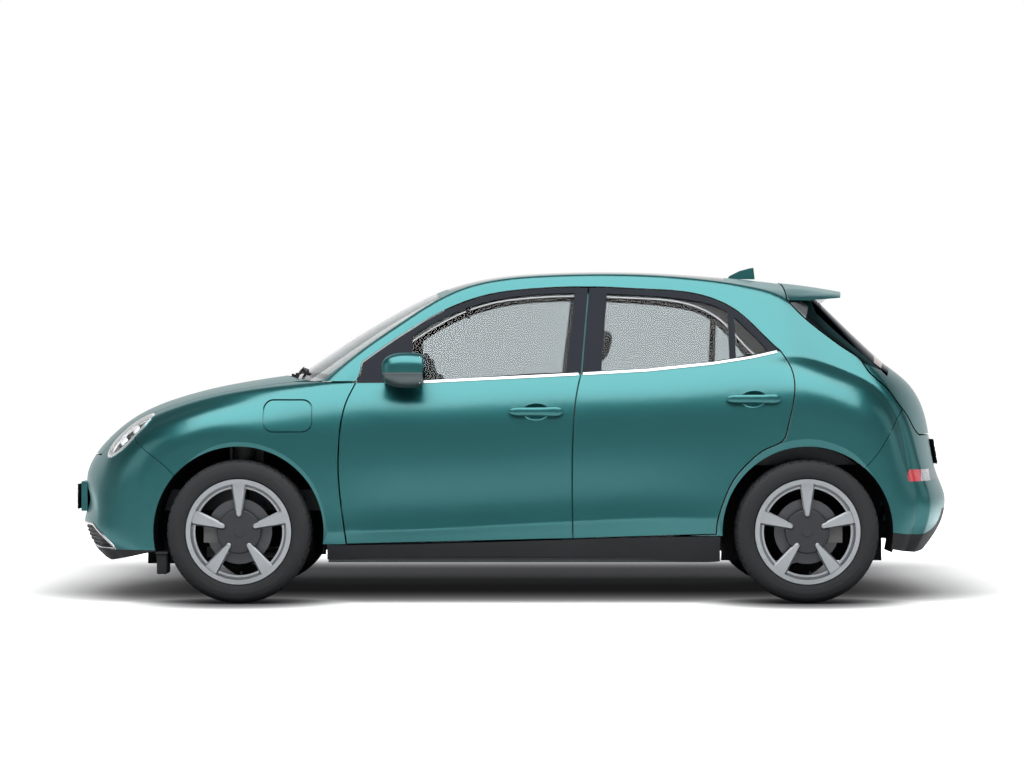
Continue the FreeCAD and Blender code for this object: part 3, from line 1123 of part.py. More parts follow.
def liner(axle, inner, reach_line):
    tube = arch_cylinder(axle, LINER_OUT, -size("liner_outer_half_width"), -inner)
    tube = tube.cut(arch_cylinder(axle, LINER_IN, OUTSIDE, MIDDLE))
    return tube.cut(box((axle - LINER_OUT - WALL, OUTSIDE, -LINER_OUT), (axle + LINER_OUT + WALL, MIDDLE,
                                                                         reach_line)))


front_liner = liner(FRONT_AXLE, TOWER_IN, LINER_LINE)
front_liner = front_liner.cut(box((FRONT_AXLE - 6 * WALL, -out(0.78), WHEEL_HEIGHT),
                                  (FRONT_AXLE + 6 * WALL, MIDDLE, SKY)))
front_liner = front_liner.cut(skin(NOSE_NET, -OVERRUN / 2, SKIN + SEAT_GAP, LEFT_NOSE))
rear_liner = liner(REAR_AXLE, REAR_WALL + WALL + SEAT_GAP, LINER_LINE)
rear_liner = rear_liner.cut(skin(CABIN_NET, -OVERRUN / 2, ROOF_SKIN + SEAT_GAP, LEFT_CABIN))
front_liner = max(front_liner.Solids, key=lambda solid: solid.Volume)
rear_liner = max(rear_liner.Solids, key=lambda solid: solid.Volume)
add_piece("arch_liners", Part.makeCompound([front_liner, other_side(front_liner), rear_liner,
                                            other_side(rear_liner)]))

# Lower cladding: front lip, sills and rear diffuser
sill_skin = skin(CABIN_NET, 0, 2 * BUMPER_SKIN, LEFT_CABIN)
sill_line = [side_points(shares) for shares in (
    [(1.156, 0.100), (1.156, 0.1715)], [(1.156, 0.1715), (1.190, 0.1715), (1.590, 0.1875), (1.846, 0.1960)],
    [(1.846, 0.1960), (1.846, 0.100)], [(1.846, 0.100), (1.156, 0.100)])]
sill_cover = sill_skin.common(side_prism(sill_line, OUTSIDE, MIDDLE))
sill_flange = block(CABIN_NET, CABIN_CORE, LEFT_CABIN).common(
    box((along(1.16), OUTSIDE, up(0.128)), (FLOOR_END, -SILL_OUT - SEAT_GAP, up(0.134))))
sill_rest = box((along(1.16), -SILL_OUT - 2 * SKIN, up(0.128)), (FLOOR_END, -SILL_OUT - SEAT_GAP, up(0.134)))
sill_cover = sill_cover.multiFuse([sill_flange, sill_rest])
add_piece("lower_cladding", Part.makeCompound([lip, diffuser, sill_cover, other_side(sill_cover)]))

# Wheels
WHEEL_OUT = size("wheel_centre_half_width")
TYRE_HALF = size("tyre_width") / 2
RIM_SEAT = size("rim_seat_diameter") / 2
RIM_FLANGE = size("rim_flange_diameter") / 2
RIM_WALL = size("rim_wall")
RIM_HALF = TYRE_HALF - size("rim_lip_width")
SPOKE_OUT = WHEEL_OUT + RIM_HALF - size("spoke_plane")
SPOKE_IN = SPOKE_OUT - size("spoke_thickness")
DISC_OUT = SPOKE_IN - size("disc_offset") / 2
DISC_IN = DISC_OUT - size("disc_thickness")
SPINDLE = size("spindle_radius")
HUB_FACE = DISC_IN - size("moving_gap") / 2


def turned_ring(axle, runs):
    """Ring turned about a left wheel's axle from an outline of (distance outboard, radius) pairs."""
    edges = []
    for run in runs:
        edges.append(run_edge([vector(axle, -WHEEL_OUT - place, WHEEL_HEIGHT + radius)
                               for place, radius in run]))
    return Part.Face(Part.Wire(edges)).revolve(vector(axle, 0, WHEEL_HEIGHT), Y_AXIS, 360)


def tyre(axle):
    tread = WHEEL_HEIGHT
    shoulder = size("tyre_shoulder")
    bead = RIM_HALF - RIM_WALL - SEAT_GAP
    bead_line = [(bead, RIM_SEAT + SEAT_GAP), (bead, RIM_FLANGE + SEAT_GAP)]
    wall = [bead_line[-1], (TYRE_HALF - shoulder / 4, RIM_FLANGE + shoulder / 2),
            (TYRE_HALF, RIM_FLANGE + 1.5 * shoulder), (TYRE_HALF - shoulder / 4, tread - shoulder / 2),
            (TYRE_HALF - shoulder, tread - shoulder / 10)]
    inner_wall = [(-place, radius) for place, radius in reversed(wall)]
    inner_line = [(-place, radius) for place, radius in reversed(bead_line)]
    crown = [wall[-1], (0, tread), inner_wall[0]]
    return turned_ring(axle, [bead_line, wall, crown, inner_wall, inner_line, [inner_line[-1], bead_line[0]]])


def face_edges(shape, place):
    """The edges of a shape that lie in one plane across the car."""
    return [edge for edge in shape.Edges
            if abs(edge.BoundBox.YMin - place) + abs(edge.BoundBox.YMax - place) < SEAT_GAP]


def spoke_blank(axle):
    """Upright spoke, rounded at the hub, wider at the rim, with chamfered flanks."""
    centre = vector(axle, -SPOKE_OUT, WHEEL_HEIGHT)
    root_half = size("spoke_root_width") / 2
    tip_half = size("spoke_tip_width") / 2
    root = size("spoke_root_reach") + root_half
    tip = RIM_SEAT - RIM_WALL / 2
    left_root = centre + vector(-root_half, 0, root)
    right_root = centre + vector(root_half, 0, root)
    left_tip = centre + vector(-tip_half, 0, tip)
    right_tip = centre + vector(tip_half, 0, tip)
    nose = Part.Arc(right_root, centre + vector(0, 0, root - root_half), left_root).toShape()
    wire = Part.Wire([nose, Part.makeLine(left_root, left_tip), Part.makeLine(left_tip, right_tip),
                      Part.makeLine(right_tip, right_root)])
    blank = Part.Face(wire).extrude(vector(0, SPOKE_OUT - SPOKE_IN, 0))
    flank_edges = [edge for edge in face_edges(blank, -SPOKE_OUT)
                   if edge.BoundBox.ZMin < centre.z + tip - RIM_WALL]
    return blank.makeChamfer(size("spoke_chamfer"), flank_edges)


def rim(axle):
    barrel = turned_ring(axle, [
        [(RIM_HALF, RIM_FLANGE), (RIM_HALF, RIM_SEAT - RIM_WALL)],
        [(RIM_HALF, RIM_SEAT - RIM_WALL), (-RIM_HALF, RIM_SEAT - RIM_WALL)],
        [(-RIM_HALF, RIM_SEAT - RIM_WALL), (-RIM_HALF, RIM_FLANGE)],
        [(-RIM_HALF, RIM_FLANGE), (-RIM_HALF + RIM_WALL, RIM_FLANGE)],
        [(-RIM_HALF + RIM_WALL, RIM_FLANGE), (-RIM_HALF + RIM_WALL, RIM_SEAT)],
        [(-RIM_HALF + RIM_WALL, RIM_SEAT), (RIM_HALF - RIM_WALL, RIM_SEAT)],
        [(RIM_HALF - RIM_WALL, RIM_SEAT), (RIM_HALF - RIM_WALL, RIM_FLANGE)],
        [(RIM_HALF - RIM_WALL, RIM_FLANGE), (RIM_HALF, RIM_FLANGE)]])
    ring_low = size("rim_ring_low")
    ring_high = size("rim_ring_high")
    ring_face = RIM_HALF - size("rim_ring_sink")
    ring_foot = ring_face - size("rim_ring_step")
    wall_line = RIM_SEAT - RIM_WALL / 2
    ring = turned_ring(axle, [
        [(ring_face, ring_low), (ring_face, ring_high)], [(ring_face, ring_high), (ring_foot, ring_high)],
        [(ring_foot, ring_high), (ring_foot, wall_line)],
        [(ring_foot, wall_line), (ring_foot - 2 * RIM_WALL, wall_line)],
        [(ring_foot - 2 * RIM_WALL, wall_line), (ring_foot - RIM_WALL, ring_low)],
        [(ring_foot - RIM_WALL, ring_low), (ring_face, ring_low)]])
    hub_centre = vector(axle, 0, WHEEL_HEIGHT)
    shapes = [barrel, ring]
    blank = spoke_blank(axle)
    spoke_count = 5
    for k in range(spoke_count):
        turned = blank.copy()
        turned.rotate(hub_centre, Y_AXIS, 360 / spoke_count * k)
        shapes.append(turned)
    cover_face = SPOKE_OUT - size("cover_sink")
    cover = Part.makeCylinder(size("hub_cover_diameter") / 2, cover_face - SPOKE_IN,
                              vector(axle, -cover_face, WHEEL_HEIGHT), Y_AXIS)
    cover = cover.makeFillet(size("cover_round"), face_edges(cover, -cover_face))
    cap = Part.makeCylinder(size("hub_cap_diameter") / 2, SPOKE_OUT - RIM_WALL - DISC_IN,
                            vector(axle, -SPOKE_OUT + RIM_WALL, WHEEL_HEIGHT), Y_AXIS)
    cap = cap.makeFillet(RIM_WALL / 4, face_edges(cap, -SPOKE_OUT + RIM_WALL))
    bell = Part.makeCylinder(2 * SPINDLE + RIM_WALL, SPOKE_IN - DISC_IN,
                             vector(axle, -SPOKE_IN, WHEEL_HEIGHT), Y_AXIS)
    disc = Part.makeCylinder(size("disc_diameter") / 2, DISC_OUT - DISC_IN,
                             vector(axle, -DISC_OUT, WHEEL_HEIGHT), Y_AXIS)
    shapes += [cover, cap, bell, disc]
    whole = fused(shapes)
    bore = Part.makeCylinder(SPINDLE + SEAT_GAP, DISC_OUT - DISC_IN + RIM_WALL,
                             vector(axle, -DISC_OUT - RIM_WALL, WHEEL_HEIGHT), Y_AXIS)
    return whole.cut(bore)


for name, axle in (("front", FRONT_AXLE), ("rear", REAR_AXLE)):
    left_tyre = tyre(axle)
    left_rim = rim(axle)
    add_piece("tyre_" + name + "_left", left_tyre)
    add_piece("tyre_" + name + "_right", other_side(left_tyre))
    add_piece("rim_" + name + "_left", left_rim)
    add_piece("rim_" + name + "_right", other_side(left_rim))

# Steering knuckles with their struts, front subframe and rear axle
KINGPIN_LOW = vector(FRONT_AXLE, -size("kingpin_low_half_width"), size("kingpin_low_height"))
KINGPIN_TOP = vector(FRONT_AXLE, -size("kingpin_top_half_width"), size("kingpin_top_height"))
STRUT_LOW = vector(FRONT_AXLE, -size("strut_low_half_width"), size("strut_low_height"))
CARRIER = size("carrier_radius")
ARM = size("arm_radius")


def rod(first, last, radius):
    way = last - first
    return Part.makeCylinder(radius, way.Length, first, way)


def caliper(axle, side):
    reach = size("caliper_reach")
    inner = reach - size("caliper_width")
    half = size("caliper_height") / 2
    low = min(side * inner, side * reach)
    whole = box((axle + low, -DISC_OUT - ARM / 2, WHEEL_HEIGHT - half),
                (axle + low + reach - inner, -DISC_IN + 2 * ARM, WHEEL_HEIGHT + half))
    slot = Part.makeCylinder(size("disc_diameter") / 2 + RIM_WALL, DISC_OUT - DISC_IN + RIM_WALL,
                             vector(axle, -DISC_OUT - RIM_WALL / 2, WHEEL_HEIGHT), Y_AXIS)
    return whole.cut(slot)


def carrier(axle):
    """Hub carrier with the spindle that a left wheel turns on."""
    plate = Part.makeCylinder(CARRIER, HUB_FACE - WHEEL_OUT + TYRE_HALF - 2 * ARM,
                              vector(axle, -HUB_FACE, WHEEL_HEIGHT), Y_AXIS)
    spindle = Part.makeCylinder(SPINDLE, DISC_OUT - HUB_FACE, vector(axle, -DISC_OUT, WHEEL_HEIGHT), Y_AXIS)
    return plate.fuse(spindle)


hub_inner = vector(FRONT_AXLE, -HUB_FACE + CARRIER, WHEEL_HEIGHT)
strut_top = KINGPIN_TOP - (KINGPIN_TOP - STRUT_LOW).normalize() * ARM
spring_low = between(STRUT_LOW, strut_top, 0.42)
knuckle = fused([
    carrier(FRONT_AXLE), caliper(FRONT_AXLE, -1),
    rod(vector(FRONT_AXLE - size("caliper_reach") + ARM, -DISC_IN + ARM, WHEEL_HEIGHT),
        vector(FRONT_AXLE, -DISC_IN + 2 * ARM, WHEEL_HEIGHT), ARM),
    rod(hub_inner, STRUT_LOW, SPINDLE), rod(KINGPIN_LOW, hub_inner, SPINDLE),
    rod(STRUT_LOW, strut_top, size("strut_radius")),
    rod(spring_low, between(STRUT_LOW, strut_top, 0.94), size("spring_radius")),
    Part.makeSphere(SPINDLE, STRUT_LOW), Part.makeSphere(SPINDLE, KINGPIN_LOW)])
add_piece("front_knuckle_left", knuckle)
add_piece("front_knuckle_right", other_side(knuckle))

SUBFRAME_LOW = size("subframe_low")
SUBFRAME_TOP = SUBFRAME_LOW + size("subframe_height")
SUBFRAME_HALF = size("subframe_half_width")
subframe_bar = box((FRONT_AXLE - 12 * WALL, -SUBFRAME_HALF, SUBFRAME_LOW),
                   (FRONT_AXLE - 8 * WALL, SUBFRAME_HALF, SUBFRAME_TOP))
arm_end = KINGPIN_LOW + vector(0, SPINDLE + SEAT_GAP + ARM, 0)
arm_side = fused([
    box((FRONT_AXLE - 12 * WALL, -SUBFRAME_HALF - 4 * WALL, SUBFRAME_LOW),
        (FRONT_AXLE + 14 * WALL, -SUBFRAME_HALF, SUBFRAME_TOP)),
    rod(vector(FRONT_AXLE - 10 * WALL, -SUBFRAME_HALF - WALL, SUBFRAME_LOW + ARM), arm_end, ARM),
    rod(vector(FRONT_AXLE + 12 * WALL, -SUBFRAME_HALF - WALL, SUBFRAME_LOW + ARM), arm_end, ARM),
    Part.makeSphere(ARM, arm_end)])
rear_bar = subframe_bar.translated(vector(22 * WALL, 0, 0))
subframe_post = box((FRONT_AXLE + 11 * WALL, -SUBFRAME_HALF - 3 * WALL, SUBFRAME_TOP - WALL),
                    (FRONT_AXLE + 14 * WALL, -SUBFRAME_HALF, LONGERON_LOW - SEAT_GAP))
front_post = subframe_post.translated(vector(-23 * WALL, 0, 0))
subframe = fused([subframe_bar, rear_bar, arm_side, other_side(arm_side), subframe_post,
                  other_side(subframe_post), front_post, other_side(front_post)])
add_piece("front_subframe", subframe)

BEAM_PLACE = vector(REAR_AXLE - 11 * WALL, 0, WHEEL_HEIGHT - WALL)
arm_pivot = vector(FLOOR_END + WALL + 2 * ARM + SEAT_GAP, -REAR_WALL + 3 * WALL, WHEEL_HEIGHT - WALL)
arm_root = vector(REAR_AXLE, -REAR_WALL - 3 * WALL, WHEEL_HEIGHT)
rear_hub = vector(REAR_AXLE, -HUB_FACE + ARM, WHEEL_HEIGHT)
axle_side = fused([
    carrier(REAR_AXLE), caliper(REAR_AXLE, 1), rod(arm_pivot, arm_root, 1.5 * ARM),
    rod(arm_root, rear_hub, 1.5 * ARM), Part.makeSphere(1.5 * ARM, arm_root),
    rod(vector(REAR_AXLE, -DISC_IN + 2 * ARM, WHEEL_HEIGHT),
        vector(REAR_AXLE + size("caliper_reach") - ARM, -DISC_IN + ARM, WHEEL_HEIGHT), ARM),
    rod(vector(BEAM_PLACE.x, -REAR_WALL + WALL, BEAM_PLACE.z), BEAM_PLACE, 2 * ARM),
    Part.makeCylinder(2 * ARM, 4 * ARM, arm_pivot - Y_AXIS * 2 * ARM, Y_AXIS)])
add_piece("rear_axle", axle_side.fuse(other_side(axle_side)))


# Heavy blocks
def sheet_box(name, place, formulas):
    """A plain block whose sides and place follow the sheet."""
    feature = doc.addObject("Part::Box", name)
    for prop, formula in formulas.items():
        feature.setExpression(prop, formula)
    for prop, formula in place.items():
        feature.setExpression("Placement.Base." + prop, formula)
    return feature


nose_formula = "-(Sizes.front_overhang + Sizes.wheelbase + Sizes.rear_overhang) / 2"
axle_formula = nose_formula + " + Sizes.front_overhang"
battery = sheet_box(
    "battery", {"x": axle_formula + " + 0.25 * Sizes.wheelbase", "y": "-Sizes.battery_half_width",
           "z": "Sizes.battery_low"},
    {"Length": "0.54 * Sizes.wheelbase", "Width": "2 * Sizes.battery_half_width",
           "Height": "Sizes.floor_height - Sizes.battery_low - Sizes.seat_gap"})
drive = sheet_box(
    "drive", {"x": axle_formula + " - 0.065 * Sizes.wheelbase", "y": "-Sizes.drive_half_width",
           "z": "Sizes.subframe_low + Sizes.subframe_height + Sizes.seat_gap"},
    {"Length": "0.13 * Sizes.wheelbase", "Width": "2 * Sizes.drive_half_width",
           "Height": "Sizes.drive_height"})
heavy_blocks = doc.addObject("Part::Compound", "battery_and_drive")
heavy_blocks.Links = [battery, drive]
heavy_blocks.Label = "battery_and_drive"
pieces.append(heavy_blocks)

# Cabin: dashboard, steering wheel, seats
SEAT_HALF = size("seat_half_width")
SEAT_PLACE = size("seat_place")
SEAT_ROUND = size("seat_round")


def seat(place, half, shares, rest_half):
    """Seat of a cushion, a leaning back and a head restraint, drawn as one side outline."""
    low, high = place - half, place + half
    base = side_prism(polygon_runs(side_points(shares["cushion"])), low, high)
    back = side_prism(polygon_runs(side_points(shares["back"])), low, high)
    rest = side_prism(polygon_runs(side_points(shares["rest"])), place - rest_half, place + rest_half)
    return fused([base, back, rest])


FRONT_SEAT_SHARES = {
    "cushion": [(1.405, 0.1737), (1.600, 0.1737), (1.610, 0.330), (1.405, 0.352)],
    "back": [(1.560, 0.300), (1.600, 0.240), (1.628, 0.430), (1.655, 0.700), (1.618, 0.712)],
    "rest": [(1.618, 0.700), (1.645, 0.690), (1.668, 0.805), (1.640, 0.812)],
}
REAR_SEAT_SHARES = {
    "cushion": [(1.785, 0.1737), (1.820, 0.1737), (1.820, 0.325), (1.955, 0.325), (1.955, 0.340),
                (1.785, 0.365)],
    "back": [(1.930, 0.325), (1.965, 0.325), (2.060, 0.690), (2.000, 0.700)],
    "rest": [(1.995, 0.680), (2.050, 0.680), (2.080, 0.760), (2.030, 0.765)],
}
driver_seat = seat(-SEAT_PLACE, SEAT_HALF, FRONT_SEAT_SHARES, SEAT_HALF / 2)
add_piece("front_seats", both_sides(driver_seat))
add_piece("rear_seat", seat(0, REAR_WALL - 3 * WALL, REAR_SEAT_SHARES, REAR_WALL * 0.70))

dash_shares = [(1.150, 0.420), (1.150, 0.610), (1.200, 0.640), (1.270, 0.628), (1.292, 0.560),
               (1.262, 0.450), (1.215, 0.400)]
dash = side_prism(polygon_runs(side_points(dash_shares)), -FLOOR_HALF + 4 * WALL, FLOOR_HALF - 4 * WALL)
console_shares = [(1.152, 0.1737), (1.152, 0.430), (1.250, 0.430), (1.290, 0.330), (1.580, 0.330),
                  (1.580, 0.1737)]
console = side_prism(polygon_runs(side_points(console_shares)), -6 * WALL, 6 * WALL)
COLUMN_WAY = vector(0.906, 0, 0.423).normalize()
WHEEL_PLACE = vector(along(1.352), -SEAT_PLACE, up(0.622))
dash = dash.cut(box((NOSE, OUTSIDE, 0), (FIREWALL + WALL + SEAT_GAP, FAR_SIDE, SKY)))
console = console.cut(box((NOSE, OUTSIDE, 0), (FIREWALL + WALL + SEAT_GAP, FAR_SIDE, SKY)))
column_end = WHEEL_PLACE - COLUMN_WAY * (2 * WALL + 2 * SEAT_GAP)
column = rod(column_end - COLUMN_WAY * 12 * WALL, column_end, 2 * WALL)
add_piece("dashboard", fused([dash, console, column]))
ring = Part.makeTorus(size("steering_wheel_radius"), size("steering_wheel_grip"), WHEEL_PLACE, COLUMN_WAY)
hub = rod(WHEEL_PLACE - COLUMN_WAY * 2 * WALL, WHEEL_PLACE + COLUMN_WAY * WALL, 4 * WALL)
cross = Y_AXIS
down = COLUMN_WAY.cross(Y_AXIS)
if down.z > 0:
    down = down * -1
wheel_parts = [ring, hub]
for way in (cross, cross * -1, down):
    wheel_parts.append(rod(WHEEL_PLACE, WHEEL_PLACE + way * size("steering_wheel_radius"), WALL * 0.75))
add_piece("steering_wheel", fused(wheel_parts))

# Door mirrors: sections from the nose back to the glass, as shares of length, half width and
# half height.
MIRROR_SHARES = [(0.0, 0.42, 0.36), (0.07, 0.68, 0.64), (0.24, 0.90, 0.88), (0.55, 1.0, 1.0),
                 (0.85, 1.0, 0.97), (1.0, 0.95, 0.91)]
MIRROR_NOSE = vector(along(1.2526), -out(1.018), up(0.679))
MIRROR_POINTS = 16
MIRROR_POWER_SHARE = 0.72
MIRROR_GLASS_SHARE = 0.88


def mirror_wire(reach_share, width_share, height_share):
    """Rounded oblong section of a left door mirror."""
    centre = MIRROR_NOSE + X_AXIS * size("mirror_length") * reach_share
    points = []
    for k in range(MIRROR_POINTS):
        turn = 2 * math.pi * k / MIRROR_POINTS
        wide = math.copysign(abs(math.cos(turn)) ** MIRROR_POWER_SHARE, math.cos(turn))
        high = math.copysign(abs(math.sin(turn)) ** MIRROR_POWER_SHARE, math.sin(turn))
        points.append(centre + vector(0, wide * width_share * size("mirror_half_width"),
                                      high * height_share * size("mirror_half_height")))
    curve = Part.BSplineCurve()
    curve.interpolate(Points=points, PeriodicFlag=True)
    return Part.Wire([curve.toShape()])


mirror_head = Part.makeLoft([mirror_wire(*entry) for entry in MIRROR_SHARES], True, False)
last_share, last_width, last_height = MIRROR_SHARES[-1]
glass_wire = mirror_wire(last_share, last_width * MIRROR_GLASS_SHARE, last_height * MIRROR_GLASS_SHARE)
mirror_head = mirror_head.cut(Part.Face(glass_wire).extrude(X_AXIS * -size("mirror_glass_sink")))
arm_root = vector(along(1.273), -out(0.84), up(0.6375))
arm_oval = oval_wire(arm_root, X_AXIS * size("mirror_arm_half_length"),
                     Z_AXIS * size("mirror_arm_half_height"))
mirror_arm = Part.Face(arm_oval).extrude(vector(0, MIRROR_NOSE.y - arm_root.y, 2 * SKIN))
mirror = mirror_head.fuse(mirror_arm)
mirror = mirror.cut(block(offset_net(CABIN_NET, -SEAT_GAP), CABIN_CORE, LEFT_CABIN))
mirror = max(mirror.Solids, key=lambda solid: solid.Volume)
add_piece("door_mirror_left", mirror)
add_piece("door_mirror_right", other_side(mirror))

# Export
doc.recompute()
os.makedirs("parts", exist_ok=True)
for feature in doc.Objects:
    if "Invalid" in feature.State or "Error" in feature.State:
        raise RuntimeError("failed: " + feature.Label)
for feature in pieces:
    if feature.Shape.isNull() or not feature.Shape.isValid() or not feature.Shape.Solids:
        raise RuntimeError("bad shape: " + feature.Label)
    feature.Shape.exportStep(os.path.join("parts", feature.Label + ".step"))
    print(feature.Label, len(feature.Shape.Solids), round(feature.Shape.Volume / 1e6, 3))
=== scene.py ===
# %% [markdown]
# # A small five-door hatchback
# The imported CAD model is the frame: every panel, pane, wheel and seat already lies where it
# belongs, in metres, with the nose towards -X, the left side towards -Y and the roof towards +Z.
# This notebook dresses it. It gives each CAD piece its finish and adds the fine pieces that a
# CAD model leaves out: tread, trim strips, lamp insides, stitched cushions and splash walls.

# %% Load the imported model
import math

import bmesh
import bpy
from mathutils import Matrix, Vector
from mathutils.bvhtree import BVHTree


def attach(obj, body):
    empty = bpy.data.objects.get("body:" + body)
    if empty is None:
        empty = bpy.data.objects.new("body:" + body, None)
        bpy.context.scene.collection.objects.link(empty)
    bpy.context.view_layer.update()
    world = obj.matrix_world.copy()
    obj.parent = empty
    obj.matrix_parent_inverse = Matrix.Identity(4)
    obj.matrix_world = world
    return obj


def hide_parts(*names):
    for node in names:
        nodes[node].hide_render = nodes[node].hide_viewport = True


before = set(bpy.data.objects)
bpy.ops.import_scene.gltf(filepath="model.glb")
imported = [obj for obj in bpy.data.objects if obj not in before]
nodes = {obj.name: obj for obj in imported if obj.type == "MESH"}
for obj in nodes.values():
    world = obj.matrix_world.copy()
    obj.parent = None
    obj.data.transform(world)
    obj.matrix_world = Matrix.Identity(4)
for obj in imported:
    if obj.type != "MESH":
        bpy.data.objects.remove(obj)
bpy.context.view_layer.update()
print("pieces in the frame:", len(nodes))

# %% [markdown]
# ## Wiring nodes
# The sky, the floor and every finish are worked out by nodes. These helpers add a node, join two
# sockets and do one sum, so that the cells below read almost like plain sums. Everything is
# worked out from Object coordinates, so nothing slides when a door opens or a wheel turns.


# %% Helpers for nodes
def add_node(owner, kind, **values):
    node = owner.node_tree.nodes.new(kind)
    for name, value in values.items():
        setattr(node, name, value)
    return node


def link(owner, start, end):
    owner.node_tree.links.new(start, end)


def calc(owner, operation, *values):
    """One sum on sockets or numbers."""
    node = add_node(owner, "ShaderNodeMath", operation=operation)
    for socket, value in zip(node.inputs, values):
        if isinstance(value, (int, float)):
            socket.default_value = value
        else:
            link(owner, value, socket)
    return node.outputs[0]


def product(owner, first, *others):
    """Masks multiplied together: 1 only where all of them are 1."""
    for other in others:
        first = calc(owner, "MULTIPLY", first, other)
    return first


def flipped(owner, mask):
    """1 where a mask is 0, and 0 where it is 1."""
    return calc(owner, "SUBTRACT", 1.0, mask)


def length_of(owner, first, second):
    """The length of a way from its two parts."""
    squares = calc(owner, "ADD", product(owner, first, first), product(owner, second, second))
    return calc(owner, "SQRT", squares)


def place_output(owner):
    """Object coordinates, which stay with the piece."""
    found = owner.node_tree.nodes.get("place")
    if found is None:
        found = add_node(owner, "ShaderNodeTexCoord", name="place")
    return found.outputs["Object"]


def parts_of(owner, source, name="parts"):
    """The three parts of a place or a way."""
    split = add_node(owner, "ShaderNodeSeparateXYZ", name=name)
    link(owner, source, split.inputs[0])
    return split.outputs


def coordinates(owner):
    """The three Object coordinates as separate values."""
    found = owner.node_tree.nodes.get("split")
    return found.outputs if found else parts_of(owner, place_output(owner), "split")


def normal_parts(material):
    """The three parts of the way in which a face looks."""
    return parts_of(material, add_node(material, "ShaderNodeNewGeometry").outputs["True Normal"])


def ranged(owner, source, low, high, start, end):
    """A value that runs from start to end while the source runs from low to high."""
    node = add_node(owner, "ShaderNodeMapRange")
    for socket, value in zip(("From Min", "From Max", "To Min", "To Max"), (low, high, start, end)):
        node.inputs[socket].default_value = value
    link(owner, source, node.inputs["Value"])
    return node.outputs["Result"]


def step_at(owner, value, edge, softness=0.0006):
    """0 under an edge and 1 over it, with a thin soft border."""
    return ranged(owner, value, edge - softness, edge + softness, 0.0, 1.0)


def under(owner, value, edge, softness=0.0006):
    """1 under an edge and 0 over it."""
    return flipped(owner, step_at(owner, value, edge, softness))


def curve_through(owner, source, points):
    """A value read off a smooth curve through points from 0 to 1."""
    node = add_node(owner, "ShaderNodeFloatCurve")
    link(owner, source, node.inputs["Value"])
    curve = node.mapping.curves[0]
    curve.points[0].location = points[0]
    curve.points[1].location = points[-1]
    for place, height in points[1:-1]:
        curve.points.new(place, height)
    node.mapping.update()
    return node.outputs[0]


def sees_backdrop(owner):
    """1 for what the camera sees straight, in a glossy surface or through glass."""
    rays = add_node(owner, "ShaderNodeLightPath").outputs
    return calc(owner, "MAXIMUM", rays["Is Camera Ray"],
                calc(owner, "MAXIMUM", rays["Is Glossy Ray"], rays["Is Transmission Ray"]))


# %% [markdown]
# ## Where the car is looked at from
# A long lens far off to the left side keeps the wheels round and the roof level. The real
# picture was cropped a little off its axis, so the lens is shifted rather than turned: a turned
# camera would lean the upright lines.

# %% Camera
scene = bpy.context.scene
CAMERA_PLACE = Vector((0.041, -14.9, 0.950))
CAMERA_LENS = 105.9
CAMERA_SHIFT = (-0.0107, 0.0156)
camera_data = bpy.data.cameras.new("side_camera")
camera_data.lens = CAMERA_LENS
camera_data.sensor_width = 36.0
camera_data.shift_x, camera_data.shift_y = CAMERA_SHIFT
camera_data.clip_end = 200.0
camera = bpy.data.objects.new("side_camera", camera_data)
camera.location = CAMERA_PLACE
camera.rotation_euler = (math.radians(90.0), 0.0, 0.0)
scene.collection.objects.link(camera)
scene.camera = camera
scene.view_settings.view_transform = "Standard"
print("camera to the middle of the car:", round(CAMERA_PLACE.length, 2), "m")

# %% [markdown]
# ## The studio
# Car paint shows its form by what it mirrors. One broad soft light hangs over the car and leans
# towards the viewer: surfaces that face up catch it, and the flanks below the shoulder stay
# dark. The white background is only a colour that the camera and clear or shiny surfaces see,
# so it adds no light of its own to the paint.

# %% Sky
DIM_SKY = 0.25
WHITE_UP_TO = 0.16
DIMMED_FROM = 0.45
DIMMED_WHITE = 0.30
world = bpy.data.worlds.new("studio")
scene.world = world
world.use_nodes = True
world.node_tree.nodes.clear()


def sky_shader(colour, strength):
    sky = add_node(world, "ShaderNodeBackground")
    sky.inputs["Color"].default_value = (*colour, 1.0)
    sky.inputs["Strength"].default_value = strength
    return sky


dim_sky = sky_shader((0.62, 0.66, 0.70), DIM_SKY)
white_sky = sky_shader((1.0, 1.0, 1.0), 1.0)
sky_height = parts_of(world, add_node(world, "ShaderNodeTexCoord").outputs["Generated"])[2]
white_share = ranged(world, sky_height, WHITE_UP_TO, DIMMED_FROM, 1.0, DIMMED_WHITE)
link(world, white_share, white_sky.inputs["Strength"])
sky_mix = add_node(world, "ShaderNodeMixShader")
link(world, sees_backdrop(world), sky_mix.inputs[0])
link(world, dim_sky.outputs[0], sky_mix.inputs[1])
link(world, white_sky.outputs[0], sky_mix.inputs[2])
link(world, sky_mix.outputs[0], add_node(world, "ShaderNodeOutputWorld").inputs["Surface"])


# %% Lamps
def soft_light(name, place, target, width, depth, power):
    """A rectangular lamp that looks at a target."""
    data = bpy.data.lights.new(name, "AREA")
    data.shape = "RECTANGLE"
    data.size = width
    data.size_y = depth
    data.energy = power
    lamp = bpy.data.objects.new(name, data)
    lamp.location = place
    lamp.rotation_euler = (Vector(target) - Vector(place)).to_track_quat("-Z", "Y").to_euler()
    scene.collection.objects.link(lamp)


soft_light("roof_light", (0.0, -3.0, 5.0), (0.0, -0.8, 0.7), 9.0, 6.0, 1650.0)
soft_light("far_light", (0.0, 4.6, 4.2), (0.0, 0.0, 0.6), 8.0, 2.5, 60.0)
soft_light("nose_light", (-6.5, -3.0, 2.6), (-1.2, 0.0, 0.6), 3.0, 3.0, 60.0)
soft_light("tail_light", (6.5, -2.0, 2.6), (1.2, 0.0, 0.6), 3.0, 3.0, 40.0)

